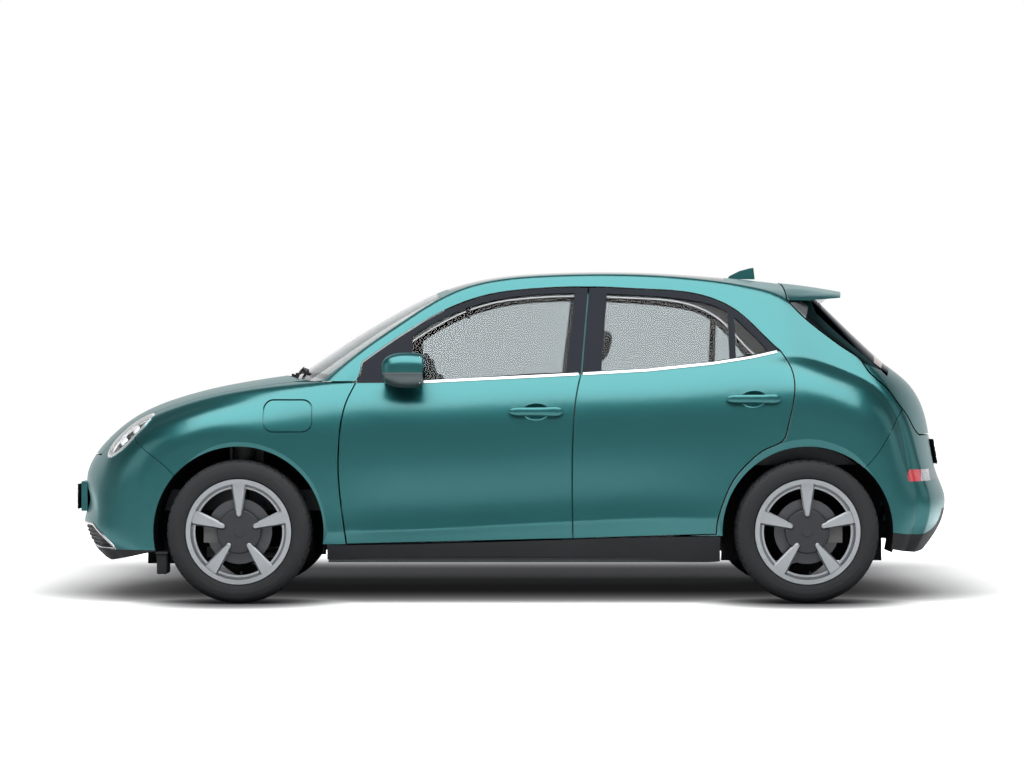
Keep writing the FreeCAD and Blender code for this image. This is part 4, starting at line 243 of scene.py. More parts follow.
# %% [markdown]
# The floor is pale, and carries the car's soft shadow as a darker patch: a box under the car that
# reaches to its far side, with a round patch under each tyre. A curve turns the distance from
# them into light, so the shadow fades out as it would under one broad lamp.

# %% Floor
BELLY_HALF = (1.45, 1.00)
BELLY_MIDDLE_Y = 1.10
TYRE_PATCH = 0.12
TYRE_FADE = 2.2
AXLE_HALF = 1.325
AXLE_MIDDLE = 0.0415
TYRE_CENTRE = 0.787
FADE_LENGTH = 4.0
FADE_CURVE = [(0.0, 0.01), (0.0925, 0.06), (0.18, 0.22), (0.2675, 0.42), (0.34, 0.54), (0.45, 1.0),
              (1.0, 1.0)]
bpy.ops.mesh.primitive_plane_add(size=120.0, location=(0.0, 0.0, 0.0))
floor = bpy.context.object
floor.name = "studio_floor"
pale_floor = bpy.data.materials.new("pale_floor")
pale_floor.use_nodes = True
floor_shader = pale_floor.node_tree.nodes["Principled BSDF"]
floor_shader.inputs["Roughness"].default_value = 0.9
floor_shader.inputs["Specular IOR Level"].default_value = 0.0
x, y, z = coordinates(pale_floor)


def off_middle(value, middle, half):
    """How far a coordinate is past a half width from a middle, and below 0 within it."""
    off = calc(pale_floor, "ABSOLUTE", calc(pale_floor, "SUBTRACT", value, middle))
    return calc(pale_floor, "SUBTRACT", off, half)


from_belly = length_of(pale_floor, calc(pale_floor, "MAXIMUM", off_middle(x, 0.0, BELLY_HALF[0]), 0.0),
                       calc(pale_floor, "MAXIMUM", off_middle(y, BELLY_MIDDLE_Y, BELLY_HALF[1]), 0.0))
from_tyre = length_of(pale_floor, off_middle(x, AXLE_MIDDLE, AXLE_HALF),
                      off_middle(y, 0.0, TYRE_CENTRE))
from_patch = calc(pale_floor, "MAXIMUM", calc(pale_floor, "SUBTRACT", from_tyre, TYRE_PATCH), 0.0)
from_car = calc(pale_floor, "MINIMUM", from_belly, calc(pale_floor, "MULTIPLY", from_patch, TYRE_FADE))
fade_share = calc(pale_floor, "MINIMUM", calc(pale_floor, "MULTIPLY", from_car, 1.0 / FADE_LENGTH), 1.0)
lit_share = curve_through(pale_floor, fade_share, FADE_CURVE)
floor_shade = add_node(pale_floor, "ShaderNodeMix", data_type="RGBA")
floor_shade.inputs[6].default_value = (0.03, 0.03, 0.032, 1.0)
floor_shade.inputs[7].default_value = (0.80, 0.80, 0.80, 1.0)
link(pale_floor, lit_share, floor_shade.inputs[0])
link(pale_floor, floor_shade.outputs[2], floor_shader.inputs["Base Color"])
floor_glow = add_node(pale_floor, "ShaderNodeEmission")
floor_glow.inputs["Color"].default_value = (1.0, 1.0, 1.0, 1.0)
link(pale_floor, product(pale_floor, sees_backdrop(pale_floor), lit_share), floor_glow.inputs["Strength"])
floor_sum = add_node(pale_floor, "ShaderNodeAddShader")
link(pale_floor, floor_shader.outputs[0], floor_sum.inputs[0])
link(pale_floor, floor_glow.outputs[0], floor_sum.inputs[1])
link(pale_floor, floor_sum.outputs[0], pale_floor.node_tree.nodes["Material Output"].inputs["Surface"])
floor.data.materials.append(pale_floor)
print("shadow box half sizes:", BELLY_HALF)

# %% [markdown]
# ## Finishes
# A small set of helpers wires the usual chain: a noise over the Object coordinates drives a
# slight change of colour, of roughness and of relief, which is what tells moulded plastic, cloth
# and cast metal apart under the same light.


# %% Helpers for finishes
def new_finish(name, colour, roughness, metallic=0.0, **sockets):
    """A material with one Principled shader, its constants set on the shader's own sockets."""
    material = bpy.data.materials.new(name)
    material.use_nodes = True
    shader = material.node_tree.nodes["Principled BSDF"]
    shader.inputs["Base Color"].default_value = (*colour, 1.0)
    shader.inputs["Roughness"].default_value = roughness
    shader.inputs["Metallic"].default_value = metallic
    for socket, value in sockets.items():
        shader.inputs[socket.replace("_", " ")].default_value = value
    return material


def socket_of(material, name):
    return material.node_tree.nodes["Principled BSDF"].inputs[name]


def noise_output(material, scale, detail=2.0, roughness=0.5):
    noise = add_node(material, "ShaderNodeTexNoise")
    for socket, value in (("Scale", scale), ("Detail", detail), ("Roughness", roughness)):
        noise.inputs[socket].default_value = value
    link(material, place_output(material), noise.inputs["Vector"])
    return noise.outputs["Fac"]


def spread(material, source, low, high):
    """The middle half of a noise stretched to run from low to high."""
    return ranged(material, source, 0.25, 0.75, low, high)


def uneven_gloss(material, scale, low, high, detail=2.0):
    """Roughness that wanders between two values."""
    link(material, spread(material, noise_output(material, scale, detail), low, high),
         socket_of(material, "Roughness"))


def colour_between(material, source, first, second):
    """A colour that runs from first to second with a value."""
    mix = add_node(material, "ShaderNodeMix", data_type="RGBA")
    mix.inputs[6].default_value = (*first, 1.0)
    mix.inputs[7].default_value = (*second, 1.0)
    link(material, source, mix.inputs[0])
    return mix.outputs[2]


def add_relief(material, source, height, strength=1.0):
    """Fine relief of a height in metres. Later calls add to the relief that is there."""
    bump = add_node(material, "ShaderNodeBump")
    bump.inputs["Distance"].default_value = height
    bump.inputs["Strength"].default_value = strength
    link(material, source, bump.inputs["Height"])
    socket = socket_of(material, "Normal")
    if socket.is_linked:
        link(material, socket.links[0].from_socket, bump.inputs["Normal"])
    link(material, bump.outputs["Normal"], socket)


def moulded(name, colour, scale, height, change, rough, metallic=0.0, **sockets):
    """A moulded, cast or woven finish: fine grain, slight patches of colour, uneven gloss."""
    material = new_finish(name, colour, rough[0], metallic, **sockets)
    grain = noise_output(material, scale, 3.0, 0.6)
    patches = noise_output(material, 3.0, 4.0, 0.55)
    dark = [c * (1.0 - change) for c in colour]
    light = [c * (1.0 + change) for c in colour]
    link(material, colour_between(material, spread(material, patches, 0.0, 1.0), dark, light),
         socket_of(material, "Base Color"))
    link(material, spread(material, patches, *rough), socket_of(material, "Roughness"))
    add_relief(material, grain, height)
    return material


def blend_in(material, mask, colour, roughness, metallic):
    """Where a mask is 1, the finish takes another colour, roughness and metal share."""
    for name, value in (("Base Color", (*colour, 1.0)), ("Roughness", roughness), ("Metallic", metallic)):
        target = socket_of(material, name)
        is_colour = name == "Base Color"
        mix = add_node(material, "ShaderNodeMix", data_type="RGBA" if is_colour else "FLOAT")
        first, second, result = (6, 7, 2) if is_colour else (2, 3, 0)
        if target.is_linked:
            link(material, target.links[0].from_socket, mix.inputs[first])
        else:
            mix.inputs[first].default_value = target.default_value
        mix.inputs[second].default_value = value
        link(material, mask, mix.inputs[0])
        link(material, mix.outputs[result], target)


def dress(names, material):
    """Gives CAD pieces their finish through their material slots."""
    for name in names:
        if not nodes[name].material_slots:
            nodes[name].data.materials.append(material)
        for slot in nodes[name].material_slots:
            slot.material = material


# %% [markdown]
# ## Body paint
# The real car has a metallic green-blue paint with a soft gloss: flakes in a tinted layer under
# a clear coat. The flakes are a fine cell pattern that shifts the colour a little, and the coat
# is a thin second gloss with a faint ripple, as sprayed lacquer has.

# %% Body paint
PAINT = (0.0055, 0.056, 0.059)
PAINT_DEEP = (0.0042, 0.044, 0.046)
PAINT_EDGE = (0.50, 0.74, 0.76, 1.0)
COAT = 0.35
BLACK_GLOSS = (0.0045, 0.005, 0.006)
MATT_BLACK = (0.006, 0.006, 0.007)
TRIM_GREY = (0.030, 0.031, 0.034)
FIN_GREY = (0.030, 0.032, 0.036)
HEADLINING = (0.34, 0.34, 0.33)


def paint_finish(name):
    paint = new_finish(name, PAINT, 0.36, 0.85, Coat_Weight=COAT, Coat_Roughness=0.20, Coat_IOR=1.45,
                       Specular_Tint=PAINT_EDGE)
    flakes = add_node(paint, "ShaderNodeTexVoronoi")
    flakes.inputs["Scale"].default_value = 900.0
    link(paint, place_output(paint), flakes.inputs["Vector"])
    link(paint, colour_between(paint, flakes.outputs["Distance"], PAINT, PAINT_DEEP),
         socket_of(paint, "Base Color"))
    uneven_gloss(paint, 1.6, 0.30, 0.34)
    add_relief(paint, noise_output(paint, 120.0, 1.0), 0.00002)
    return paint


def coat_outside(material, bare):
    """Leaves the clear coat off where a mask is 1."""
    link(material, product(material, flipped(material, bare), COAT), socket_of(material, "Coat Weight"))


def outward_mask(material):
    """1 on faces that look away from the middle of the car, 0 on those that look into it."""
    x, y, z = coordinates(material)
    parts = normal_parts(material)
    over = calc(material, "SUBTRACT", z, 0.75)
    lean = calc(material, "ADD", product(material, parts[1], y), product(material, parts[2], over))
    return step_at(material, calc(material, "ADD", lean, product(material, parts[0], x, 0.5)), -0.02, 0.001)


dress(["front_fenders", "hood", "front_bumper", "rear_bumper", "charge_flap"], paint_finish("body_paint"))

# %% [markdown]
# The shell wears paint outside, a pale lining inside above the belt and a dark finish on the
# structure below. Each border is a plain mask on the coordinates.

# %% Shell paint
shell_paint = paint_finish("shell_paint")
x, y, z = coordinates(shell_paint)
blend_in(shell_paint, flipped(shell_paint, outward_mask(shell_paint)), HEADLINING, 0.9, 0.0)
near_middle = under(shell_paint, calc(shell_paint, "ABSOLUTE", y), 0.800)
structure = product(shell_paint, near_middle, under(shell_paint, z, 0.93), under(shell_paint, x, 1.70))
blend_in(shell_paint, structure, TRIM_GREY, 0.75, 0.0)
blend_in(shell_paint, under(shell_paint, z, 0.225), MATT_BLACK, 0.8, 0.0)
dress(["body_shell"], shell_paint)

# %% [markdown]
# The doors are painted up to the belt line, which a curve follows along the car. Their window
# frames above it are gloss black outside and matt black in the reveals, and the inner side
# below it is trim.

# %% Door paint
BELT_PLACES = [(-0.90, 1.030), (-0.429, 1.034), (0.311, 1.071), (0.627, 1.089), (0.924, 1.120),
               (1.101, 1.147), (1.242, 1.178)]
BELT_BASE = 0.5
BELT_SHARE = 0.4
door_paint = paint_finish("door_paint")
x, y, z = coordinates(door_paint)
along_door = product(door_paint, calc(door_paint, "ADD", x, 1.0), BELT_SHARE)
belt_points = [((place + 1.0) * BELT_SHARE, height - BELT_BASE) for place, height in BELT_PLACES[1:]]
belt_rise = curve_through(door_paint, along_door, [(0.0, BELT_PLACES[0][1] - BELT_BASE), *belt_points,
                                                   (1.0, BELT_PLACES[-1][1] - BELT_BASE)])
belt_height = calc(door_paint, "ADD", belt_rise, BELT_BASE)
over_belt = step_at(door_paint, calc(door_paint, "SUBTRACT", z, belt_height), 0.0)
blend_in(door_paint, over_belt, BLACK_GLOSS, 0.20, 1.0)
coat_outside(door_paint, over_belt)
off_face = calc(door_paint, "LESS_THAN", calc(door_paint, "ABSOLUTE", normal_parts(door_paint)[1]), 0.75)
blend_in(door_paint, product(door_paint, over_belt, off_face), MATT_BLACK, 0.9, 0.0)
inner_side = under(door_paint, calc(door_paint, "ABSOLUTE", y), 0.7695)
blend_in(door_paint, product(door_paint, inner_side, flipped(door_paint, over_belt)), TRIM_GREY, 0.7, 0.0)
dress(["front_door_left", "front_door_right", "rear_door_left", "rear_door_right"], door_paint)

# %% [markdown]
# A mirror head has a painted cap, a thin dark joint and a black lower half.

# %% Mirror paint
mirror_paint = paint_finish("mirror_paint")
x, y, z = coordinates(mirror_paint)
blend_in(mirror_paint, under(mirror_paint, z, 1.0765), (0.045, 0.047, 0.050), 0.30, 0.5)
blend_in(mirror_paint, under(mirror_paint, z, 1.0705), (0.005, 0.0055, 0.0065), 0.50, 0.0)
dress(["door_mirror_left", "door_mirror_right"], mirror_paint)

# %% [markdown]
# The tailgate is black around its glass, as if the pane ran out to the shut line, and dark grey on
# the small side fin and under the spoiler. Those borders are straight lines in the side view.


# %% Tailgate paint
def over_line(material, first, second):
    """1 on the side of a line in the side view that lies up from it, for a line drawn rearwards."""
    x, y, z = coordinates(material)
    slope = (second[1] - first[1]) / (second[0] - first[0])
    line = calc(material, "ADD", product(material, x, slope), first[1] - slope * first[0])
    return step_at(material, calc(material, "SUBTRACT", z, line), 0.0)


FIN_FRONT = (1.284, 1.409)
FIN_FOOT = (1.376, 1.330)
tailgate_paint = paint_finish("tailgate_paint")
x, y, z = coordinates(tailgate_paint)
side_fin = product(tailgate_paint, over_line(tailgate_paint, FIN_FRONT, FIN_FOOT),
                   over_line(tailgate_paint, FIN_FOOT, (1.420, 1.436)),
                   flipped(tailgate_paint, over_line(tailgate_paint, FIN_FRONT, (1.452, 1.432))),
                   step_at(tailgate_paint, calc(tailgate_paint, "ABSOLUTE", y), 0.500))
faces_down = calc(tailgate_paint, "LESS_THAN", normal_parts(tailgate_paint)[2], -0.35)
under_spoiler = product(tailgate_paint, faces_down, step_at(tailgate_paint, z, 1.30))
glass_band = product(tailgate_paint, over_line(tailgate_paint, (1.600, 1.137), (1.800, 1.070)),
                     calc(tailgate_paint, "LESS_THAN", z, 1.425), calc(tailgate_paint, "LESS_THAN", x, 1.765))
blend_in(tailgate_paint, glass_band, (0.003, 0.0035, 0.004), 0.55, 1.0)
coat_outside(tailgate_paint, glass_band)
blend_in(tailgate_paint, calc(tailgate_paint, "MAXIMUM", side_fin, under_spoiler), FIN_GREY, 0.30, 0.0)
low_inside = product(tailgate_paint, flipped(tailgate_paint, outward_mask(tailgate_paint)),
                     calc(tailgate_paint, "LESS_THAN", z, 1.30))
blend_in(tailgate_paint, low_inside, TRIM_GREY, 0.75, 0.0)
dress(["tailgate"], tailgate_paint)
print("painted pieces:", 13)

# %% [markdown]
# ## Glass
# The side glass is pale grey and lets the far side of the cabin show through. The roof and the
# rear glass are so dark that they read as black mirrors. The rear light bar lies behind the
# lower edge of the rear glass, where a mask tints it a dull red.

# %% Glass
DARK_GLASS = (0.012, 0.014, 0.017)
clear_glass = new_finish("side_glass", (0.58, 0.62, 0.63), 0.0, Transmission_Weight=1.0, IOR=1.15)
uneven_gloss(clear_glass, 9.0, 0.0, 0.003, 4.0)
lamp_glass = new_finish("lamp_glass", (0.93, 0.94, 0.95), 0.0, Transmission_Weight=1.0, IOR=1.40)
uneven_gloss(lamp_glass, 14.0, 0.0, 0.02)
dark_glass = moulded("dark_glass", DARK_GLASS, 40.0, 0.000002, 0.1, (0.04, 0.08),
                     Specular_IOR_Level=0.10, IOR=1.20)
rear_glass = moulded("rear_glass", DARK_GLASS, 40.0, 0.000002, 0.1, (0.04, 0.08), metallic=1.0,
                     Specular_Tint=(0.10, 0.11, 0.12, 1.0))
x, y, z = coordinates(rear_glass)
y_square = product(rear_glass, y, y)
bar_front = calc(rear_glass, "ADD", x, product(rear_glass, y_square, 0.120))
bar_back = calc(rear_glass, "ADD", x, product(rear_glass, y_square, 0.154))
in_bar = product(rear_glass, step_at(rear_glass, bar_front, 1.749), under(rear_glass, bar_back, 1.7945),
                 calc(rear_glass, "LESS_THAN", y_square, 0.341))
blend_in(rear_glass, in_bar, (0.045, 0.001, 0.002), 0.10, 0.0)
dress(["front_door_glass_left", "front_door_glass_right", "rear_door_glass_left", "rear_door_glass_right",
       "windscreen"], clear_glass)
dress(["roof_glass"], dark_glass)
dress(["tailgate_glass"], rear_glass)
dress(["headlamp_lenses"], lamp_glass)

# %% [markdown]
# ## Plastic, metal, rubber and cloth
# Unpainted lower trim is a coarse-grained black plastic, the liners are nearly black felt-like
# plastic, and the tyres are matt rubber. Each is the same chain with other grain and gloss.

# %% Plastic, metal, rubber and cloth
black_plastic = moulded("black_plastic", (0.009, 0.0095, 0.0105), 700.0, 0.00008, 0.18, (0.50, 0.62),
                        Specular_IOR_Level=0.08)
liner_plastic = moulded("liner_plastic", (0.005, 0.005, 0.006), 350.0, 0.0002, 0.25, (0.85, 0.95),
                        Specular_IOR_Level=0.05)
cabin_plastic = moulded("cabin_plastic", (0.020, 0.021, 0.023), 900.0, 0.00006, 0.12, (0.55, 0.65),
                        Specular_IOR_Level=0.2)
cast_metal = moulded("cast_metal", (0.40, 0.40, 0.41), 260.0, 0.0002, 0.15, (0.42, 0.58), metallic=1.0)
dark_steel = moulded("dark_steel", (0.030, 0.030, 0.031), 180.0, 0.0001, 0.3, (0.42, 0.60), metallic=0.3)
rubber = moulded("tyre_rubber", (0.0105, 0.011, 0.012), 500.0, 0.00006, 0.2, (0.62, 0.78),
                 Specular_IOR_Level=0.10)
seat_cloth = moulded("seat_cloth", (0.030, 0.031, 0.034), 1200.0, 0.0002, 0.2, (0.85, 0.95),
                     Specular_IOR_Level=0.1)
dress(["lower_cladding", "lower_grille", "cowl_panel"], black_plastic)
dress(["arch_liners"], liner_plastic)
dress(["dashboard", "steering_wheel"], cabin_plastic)
dress(["battery_and_drive"], cast_metal)
dress(["front_subframe", "rear_axle", "front_knuckle_left", "front_knuckle_right"], dark_steel)
dress(["front_seats", "rear_seat"], seat_cloth)
dress(["tyre_front_left", "tyre_front_right", "tyre_rear_left", "tyre_rear_right"], rubber)

# %% [markdown]
# ## Lamps
# The low rear lamps are red ahead of a grey reflector, and the strip behind it is painted like
# the bumper. The headlamp's bowl is silver with a darker cup, an oval in the lamp's own plane.

# %% Rear lamps
LAMP_RED = (0.14, 0.003, 0.005)
CORNER_RED = (0.20, 0.004, 0.009)
lamp_red = moulded("lamp_red", LAMP_RED, 160.0, 0.0001, 0.2, (0.08, 0.14), Coat_Weight=0.5)
corner_red = moulded("corner_lamp", CORNER_RED, 160.0, 0.0001, 0.2, (0.08, 0.14), Coat_Weight=0.3)
x, y, z = coordinates(corner_red)
cells = add_node(corner_red, "ShaderNodeTexChecker")
cells.inputs["Scale"].default_value = 160.0
link(corner_red, place_output(corner_red), cells.inputs["Vector"])
blend_in(corner_red, step_at(corner_red, x, 1.905), (0.15, 0.16, 0.17), 0.16, 0.1)
blend_in(corner_red, step_at(corner_red, x, 1.963), PAINT, 0.36, 0.85)
add_relief(corner_red, cells.outputs["Fac"], 0.0003)
dress(["rear_bumper_lamps"], corner_red)
dress(["tail_lamps"], lamp_red)

# %% Headlamp bowl
LAMP_CENTRE = Vector((-1.8239, -0.6552, 0.7951))
LAMP_WAY = Vector((-0.62, -0.45, 0.64)).normalized()
LAMP_LONG = Vector((0.70, 0.0, 0.71))
LAMP_LONG = (LAMP_LONG - LAMP_WAY * LAMP_LONG.dot(LAMP_WAY)).normalized()
LAMP_WIDE = LAMP_WAY.cross(LAMP_LONG)
LAMP_HALF_HEIGHT = 0.150
LAMP_HALF_WIDTH = 0.104
lamp_silver = moulded("lamp_silver", (0.55, 0.56, 0.57), 60.0, 0.00002, 0.06, (0.16, 0.24), metallic=0.8)
x, y, z = coordinates(lamp_silver)
left_y = product(lamp_silver, calc(lamp_silver, "ABSOLUTE", y), -1.0)


def lamp_share(way, half):
    """How far a place lies along a direction from the centre of either lamp, as a share."""
    parts = [product(lamp_silver, calc(lamp_silver, "SUBTRACT", value, start), share)
             for value, start, share in zip((x, left_y, z), LAMP_CENTRE, way)]
    total = calc(lamp_silver, "ADD", calc(lamp_silver, "ADD", parts[0], parts[1]), parts[2])
    return calc(lamp_silver, "DIVIDE", total, half)


long_share = lamp_share(LAMP_LONG, LAMP_HALF_HEIGHT)
wide_share = lamp_share(LAMP_WIDE, LAMP_HALF_WIDTH)
oval = calc(lamp_silver, "ADD", product(lamp_silver, long_share, long_share),
            product(lamp_silver, wide_share, wide_share))
blend_in(lamp_silver, under(lamp_silver, oval, 0.765, 0.01), (0.060, 0.063, 0.068), 0.35, 0.4)
dress(["headlamps"], lamp_silver)

# %% [markdown]
# ## Wheels
# One alloy finish serves all four rims. The dark centre cover and the disc lie behind the
# spokes, so they are found by their distance from the axle and from the outer face. The disc
# and a ring-shaped recess near the rim's edge are painted darker than the alloy: painted shade.

# %% Wheels
WHEEL_HEIGHT = 0.336
WHEELBASE = 2.65
FRONT_AXLE = -1.2835
COVER_RADIUS = 0.1035
DISC_RADIUS = 0.153
SPOKE_FACE = 0.8685
alloy = new_finish("wheel_alloy", (0.165, 0.175, 0.185), 0.36, 0.9)
uneven_gloss(alloy, 5.0, 0.32, 0.40)
add_relief(alloy, noise_output(alloy, 420.0), 0.00002)
x, y, z = coordinates(alloy)
to_rear_axle = product(alloy, calc(alloy, "GREATER_THAN", x, 0.0), WHEELBASE)
from_axle = calc(alloy, "SUBTRACT", calc(alloy, "SUBTRACT", x, FRONT_AXLE), to_rear_axle)
radius = length_of(alloy, from_axle, calc(alloy, "SUBTRACT", z, WHEEL_HEIGHT))
depth = calc(alloy, "ABSOLUTE", y)
cover = product(alloy, under(alloy, depth, SPOKE_FACE - 0.004), under(alloy, radius, COVER_RADIUS))
blend_in(alloy, cover, (0.013, 0.014, 0.016), 0.42, 0.7)
# Painted shade: the disc behind the spokes is coloured darker than the alloy.
disc_painted_shade = product(alloy, under(alloy, radius, DISC_RADIUS), under(alloy, depth, 0.828))
blend_in(alloy, disc_painted_shade, (0.036, 0.037, 0.040), 0.45, 0.9)
# Painted shade: a ring-shaped recess near the rim's edge is coloured darker than the alloy.
recess_ring_painted_shade = product(alloy, step_at(alloy, radius, 0.2125), under(alloy, radius, 0.2235),
                 under(alloy, depth, SPOKE_FACE - 0.010))
blend_in(alloy, recess_ring_painted_shade, (0.09, 0.094, 0.10), 0.4, 0.8)
dress(["rim_front_left", "rim_front_right", "rim_rear_left", "rim_rear_right"], alloy)

# %% [markdown]
# ## How the new pieces are made
# A new piece starts as a small bmesh that operators shape, in metres and in the car's own frame.
# The helpers below finish it: its normals are set, it gets its material, and it rides on the body
# that carries it. Pieces that lie on a panel ask the panel where its surface is, by a ray.


# %% Helpers for new pieces
BOTH_BODY = ("body", "body")
FRONT_DOORS = ("door_front_left", "door_front_right")
REAR_DOORS = ("door_rear_left", "door_rear_right")


def finish_piece(name, shape, material, body, slot, angle=35.0):
    """Makes the object of a bmesh and lets it ride on a body."""
    bmesh.ops.recalc_face_normals(shape, faces=shape.faces)
    mesh = bpy.data.meshes.new(name)
    shape.to_mesh(mesh)
    shape.free()
    mesh.shade_smooth()
    mesh.set_sharp_from_angle(angle=math.radians(angle))
    mesh.materials.append(material)
    piece = bpy.data.objects.new(name, mesh)
    scene.collection.objects.link(piece)
    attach(piece, body)
    return piece


def pair_pieces(name, build, material, bodies, slot, **more):
    """Builds a piece for the left side and its mirror image for the right side."""
    made = []
    for side, body in zip(("left", "right"), bodies):
        shape = build()
        if side == "right":
            bmesh.ops.scale(shape, vec=(1.0, -1.0, 1.0), verts=shape.verts)
            bmesh.ops.reverse_faces(shape, faces=shape.faces)
        made.append(finish_piece(name + "_" + side, shape, material, body, slot, **more))
    return made


def rounded_box(shape, centre, size, radius, turn=None, segments=3):
    """Adds a box with rounded edges to a bmesh and returns its vertices."""
    before = set(shape.verts)
    bmesh.ops.create_cube(shape, size=1.0)
    verts = [v for v in shape.verts if v not in before]
    bmesh.ops.scale(shape, vec=size, verts=verts)
    edges = list({edge for v in verts for edge in v.link_edges})
    bmesh.ops.bevel(shape, geom=edges, offset=radius, segments=segments, profile=0.5,
                    affect="EDGES", material=-1, offset_type="OFFSET")
    verts = [v for v in shape.verts if v not in before]
    place = Matrix.Translation(centre)
    if turn is not None:
        place = place @ turn
    bmesh.ops.transform(shape, matrix=place, verts=verts)
    return verts


def sweep(shape, section, frames, closed=False):
    """Draws a section along a row of places: each step is an extrusion, moved on and turned."""
    corners = [shape.verts.new(frames[0] @ Vector((0.0, *corner))) for corner in section]
    first = [shape.edges.new((a, b)) for a, b in zip(corners, corners[1:] + corners[:1])]
    if not closed:
        bmesh.ops.contextual_create(shape, geom=first)
    edges = first
    for before, after in zip(frames, frames[1:]):
        grown = bmesh.ops.extrude_edge_only(shape, edges=edges)["geom"]
        moved = {item for item in grown if isinstance(item, bmesh.types.BMVert)}
        edges = [item for item in grown if isinstance(item, bmesh.types.BMEdge)
                 and item.verts[0] in moved and item.verts[1] in moved]
        bmesh.ops.transform(shape, matrix=after @ before.inverted(), verts=list(moved))
    if closed:
        bmesh.ops.bridge_loops(shape, edges=edges + first)
    else:
        bmesh.ops.contextual_create(shape, geom=edges)


def frames_along(points, outwards, closed=False):
    """Places for a sweep: each looks along the run, its second way is out of the panel."""
    frames = []
    count = len(points)
    for k, (point, outward) in enumerate(zip(points, outwards)):
        ahead = points[(k + 1) % count] if closed or k + 1 < count else point
        behind = points[k - 1] if closed or k > 0 else point
        run = (ahead - behind).normalized()
        out_way = (outward - run * outward.dot(run)).normalized()
        across = run.cross(out_way)
        frame_here = Matrix((run, out_way, across)).transposed().to_4x4()
        frame_here.translation = point
        frames.append(frame_here)
    return frames


def strip_section(width, height, root=0.0015, round_share=0.3):
    """Section of a thin strip: its root is a little inside the panel, its crown is rounded."""
    half = width / 2
    corner = min(half, height) * round_share
    return [(-root, -half), (height - corner, -half), (height, -half + corner), (height, half - corner),
            (height - corner, half), (-root, half)]


def surface_of(*names):
    """A search tree over CAD pieces, for rays."""
    verts = []
    faces = []
    for name in names:
        start = len(verts)
        mesh = nodes[name].data
        verts += [v.co.copy() for v in mesh.vertices]
        faces += [[start + k for k in face.vertices] for face in mesh.polygons]
    return BVHTree.FromPolygons(verts, faces)


def surface_at(tree, start, way):
    """The point where a ray meets a surface and the normal there that looks back, or nothing."""
    hit, normal, _, _ = tree.ray_cast(Vector(start), Vector(way))
    return None if hit is None else (hit, normal if normal.dot(Vector(way)) < 0 else -normal)


def on_left_side(tree, x, z):
    """The left flank's point and outward normal at a place in the side view."""
    return surface_at(tree, (x, -1.5, z), (0.0, 1.0, 0.0))


# %% [markdown]
# ## Bright belt strips
# A polished strip runs along the foot of the side windows and marks the widest line of the car.
# It is drawn in the side view and laid onto the door by rays, so it bends with the panel. Each
# door carries its own length, cut at the shut line, because the doors open.

# %% Belt strips
bright_trim = new_finish("bright_trim", (0.21, 0.215, 0.22), 0.28, 0.95)
uneven_gloss(bright_trim, 30.0, 0.17, 0.27)
add_relief(bright_trim, noise_output(bright_trim, 900.0), 0.000008)
BELT_LINE = [BELT_PLACES[1], (-0.18, 1.0465), (0.070, 1.059), *BELT_PLACES[2:]]
STRIP_STEP = 0.03
door_surfaces = {"front": surface_of("front_door_left"), "rear": surface_of("rear_door_left")}


def belt_height_at(x):
    for (x0, z0), (x1, z1) in zip(BELT_LINE, BELT_LINE[1:]):
        if x <= x1:
            return z0 + (z1 - z0) * (x - x0) / (x1 - x0)
    return BELT_LINE[-1][1]


def belt_strip(door, start, end):
    def build():
        shape = bmesh.new()
        count = round((end - start) / STRIP_STEP)
        stations = [start + (end - start) * k / count for k in range(count + 1)]
        found = [on_left_side(door_surfaces[door], x, belt_height_at(x)) for x in stations]
        places = [place for place in found if place is not None]
        sweep(shape, strip_section(0.014, 0.003),
              frames_along([p for p, _ in places], [n for _, n in places]))
        return shape
    return build


strips = pair_pieces("front_belt_strip", belt_strip("front", -0.424, 0.300), bright_trim, FRONT_DOORS,
                     "silver_plastic")
strips += pair_pieces("rear_belt_strip", belt_strip("rear", 0.322, 1.232), bright_trim, REAR_DOORS,
                      "silver_plastic")
print("belt strips:", len(strips))

# %% [markdown]
# ## Tyres
# A tyre is a body of revolution: a section with bead, bulging wall, fine rings, shoulder and four
# grooves is spun about the axle. Small pockets pushed into the shoulder and the tread blocks give
# the bite marks that a plain ring lacks. Each one stands for its CAD tyre.

# %% Tyres
AXLES = {"front": FRONT_AXLE, "rear": 1.3665}
TYRE_STEPS = 144
POCKET_INSET = 0.0035
POCKET_DEPTH = 0.0045
HALF_SECTION = [
    (0.0880, 0.2322), (0.0880, 0.2453), (0.0930, 0.2500), (0.0965, 0.2530), (0.0990, 0.2535),
    (0.0997, 0.2580), (0.1008, 0.2590), (0.1022, 0.2640), (0.1034, 0.2650), (0.1040, 0.2700),
    (0.1062, 0.2790), (0.1073, 0.2870), (0.1070, 0.2950), (0.1060, 0.2990), (0.1064, 0.3005),
    (0.1046, 0.3060), (0.1049, 0.3075), (0.1022, 0.3140), (0.0985, 0.3200), (0.0940, 0.3255),
    (0.0880, 0.3300), (0.0800, 0.3330), (0.0620, 0.3343), (0.0612, 0.3275), (0.0530, 0.3278),
    (0.0522, 0.3350), (0.0275, 0.3357), (0.0267, 0.3282), (0.0185, 0.3284), (0.0177, 0.33595)]


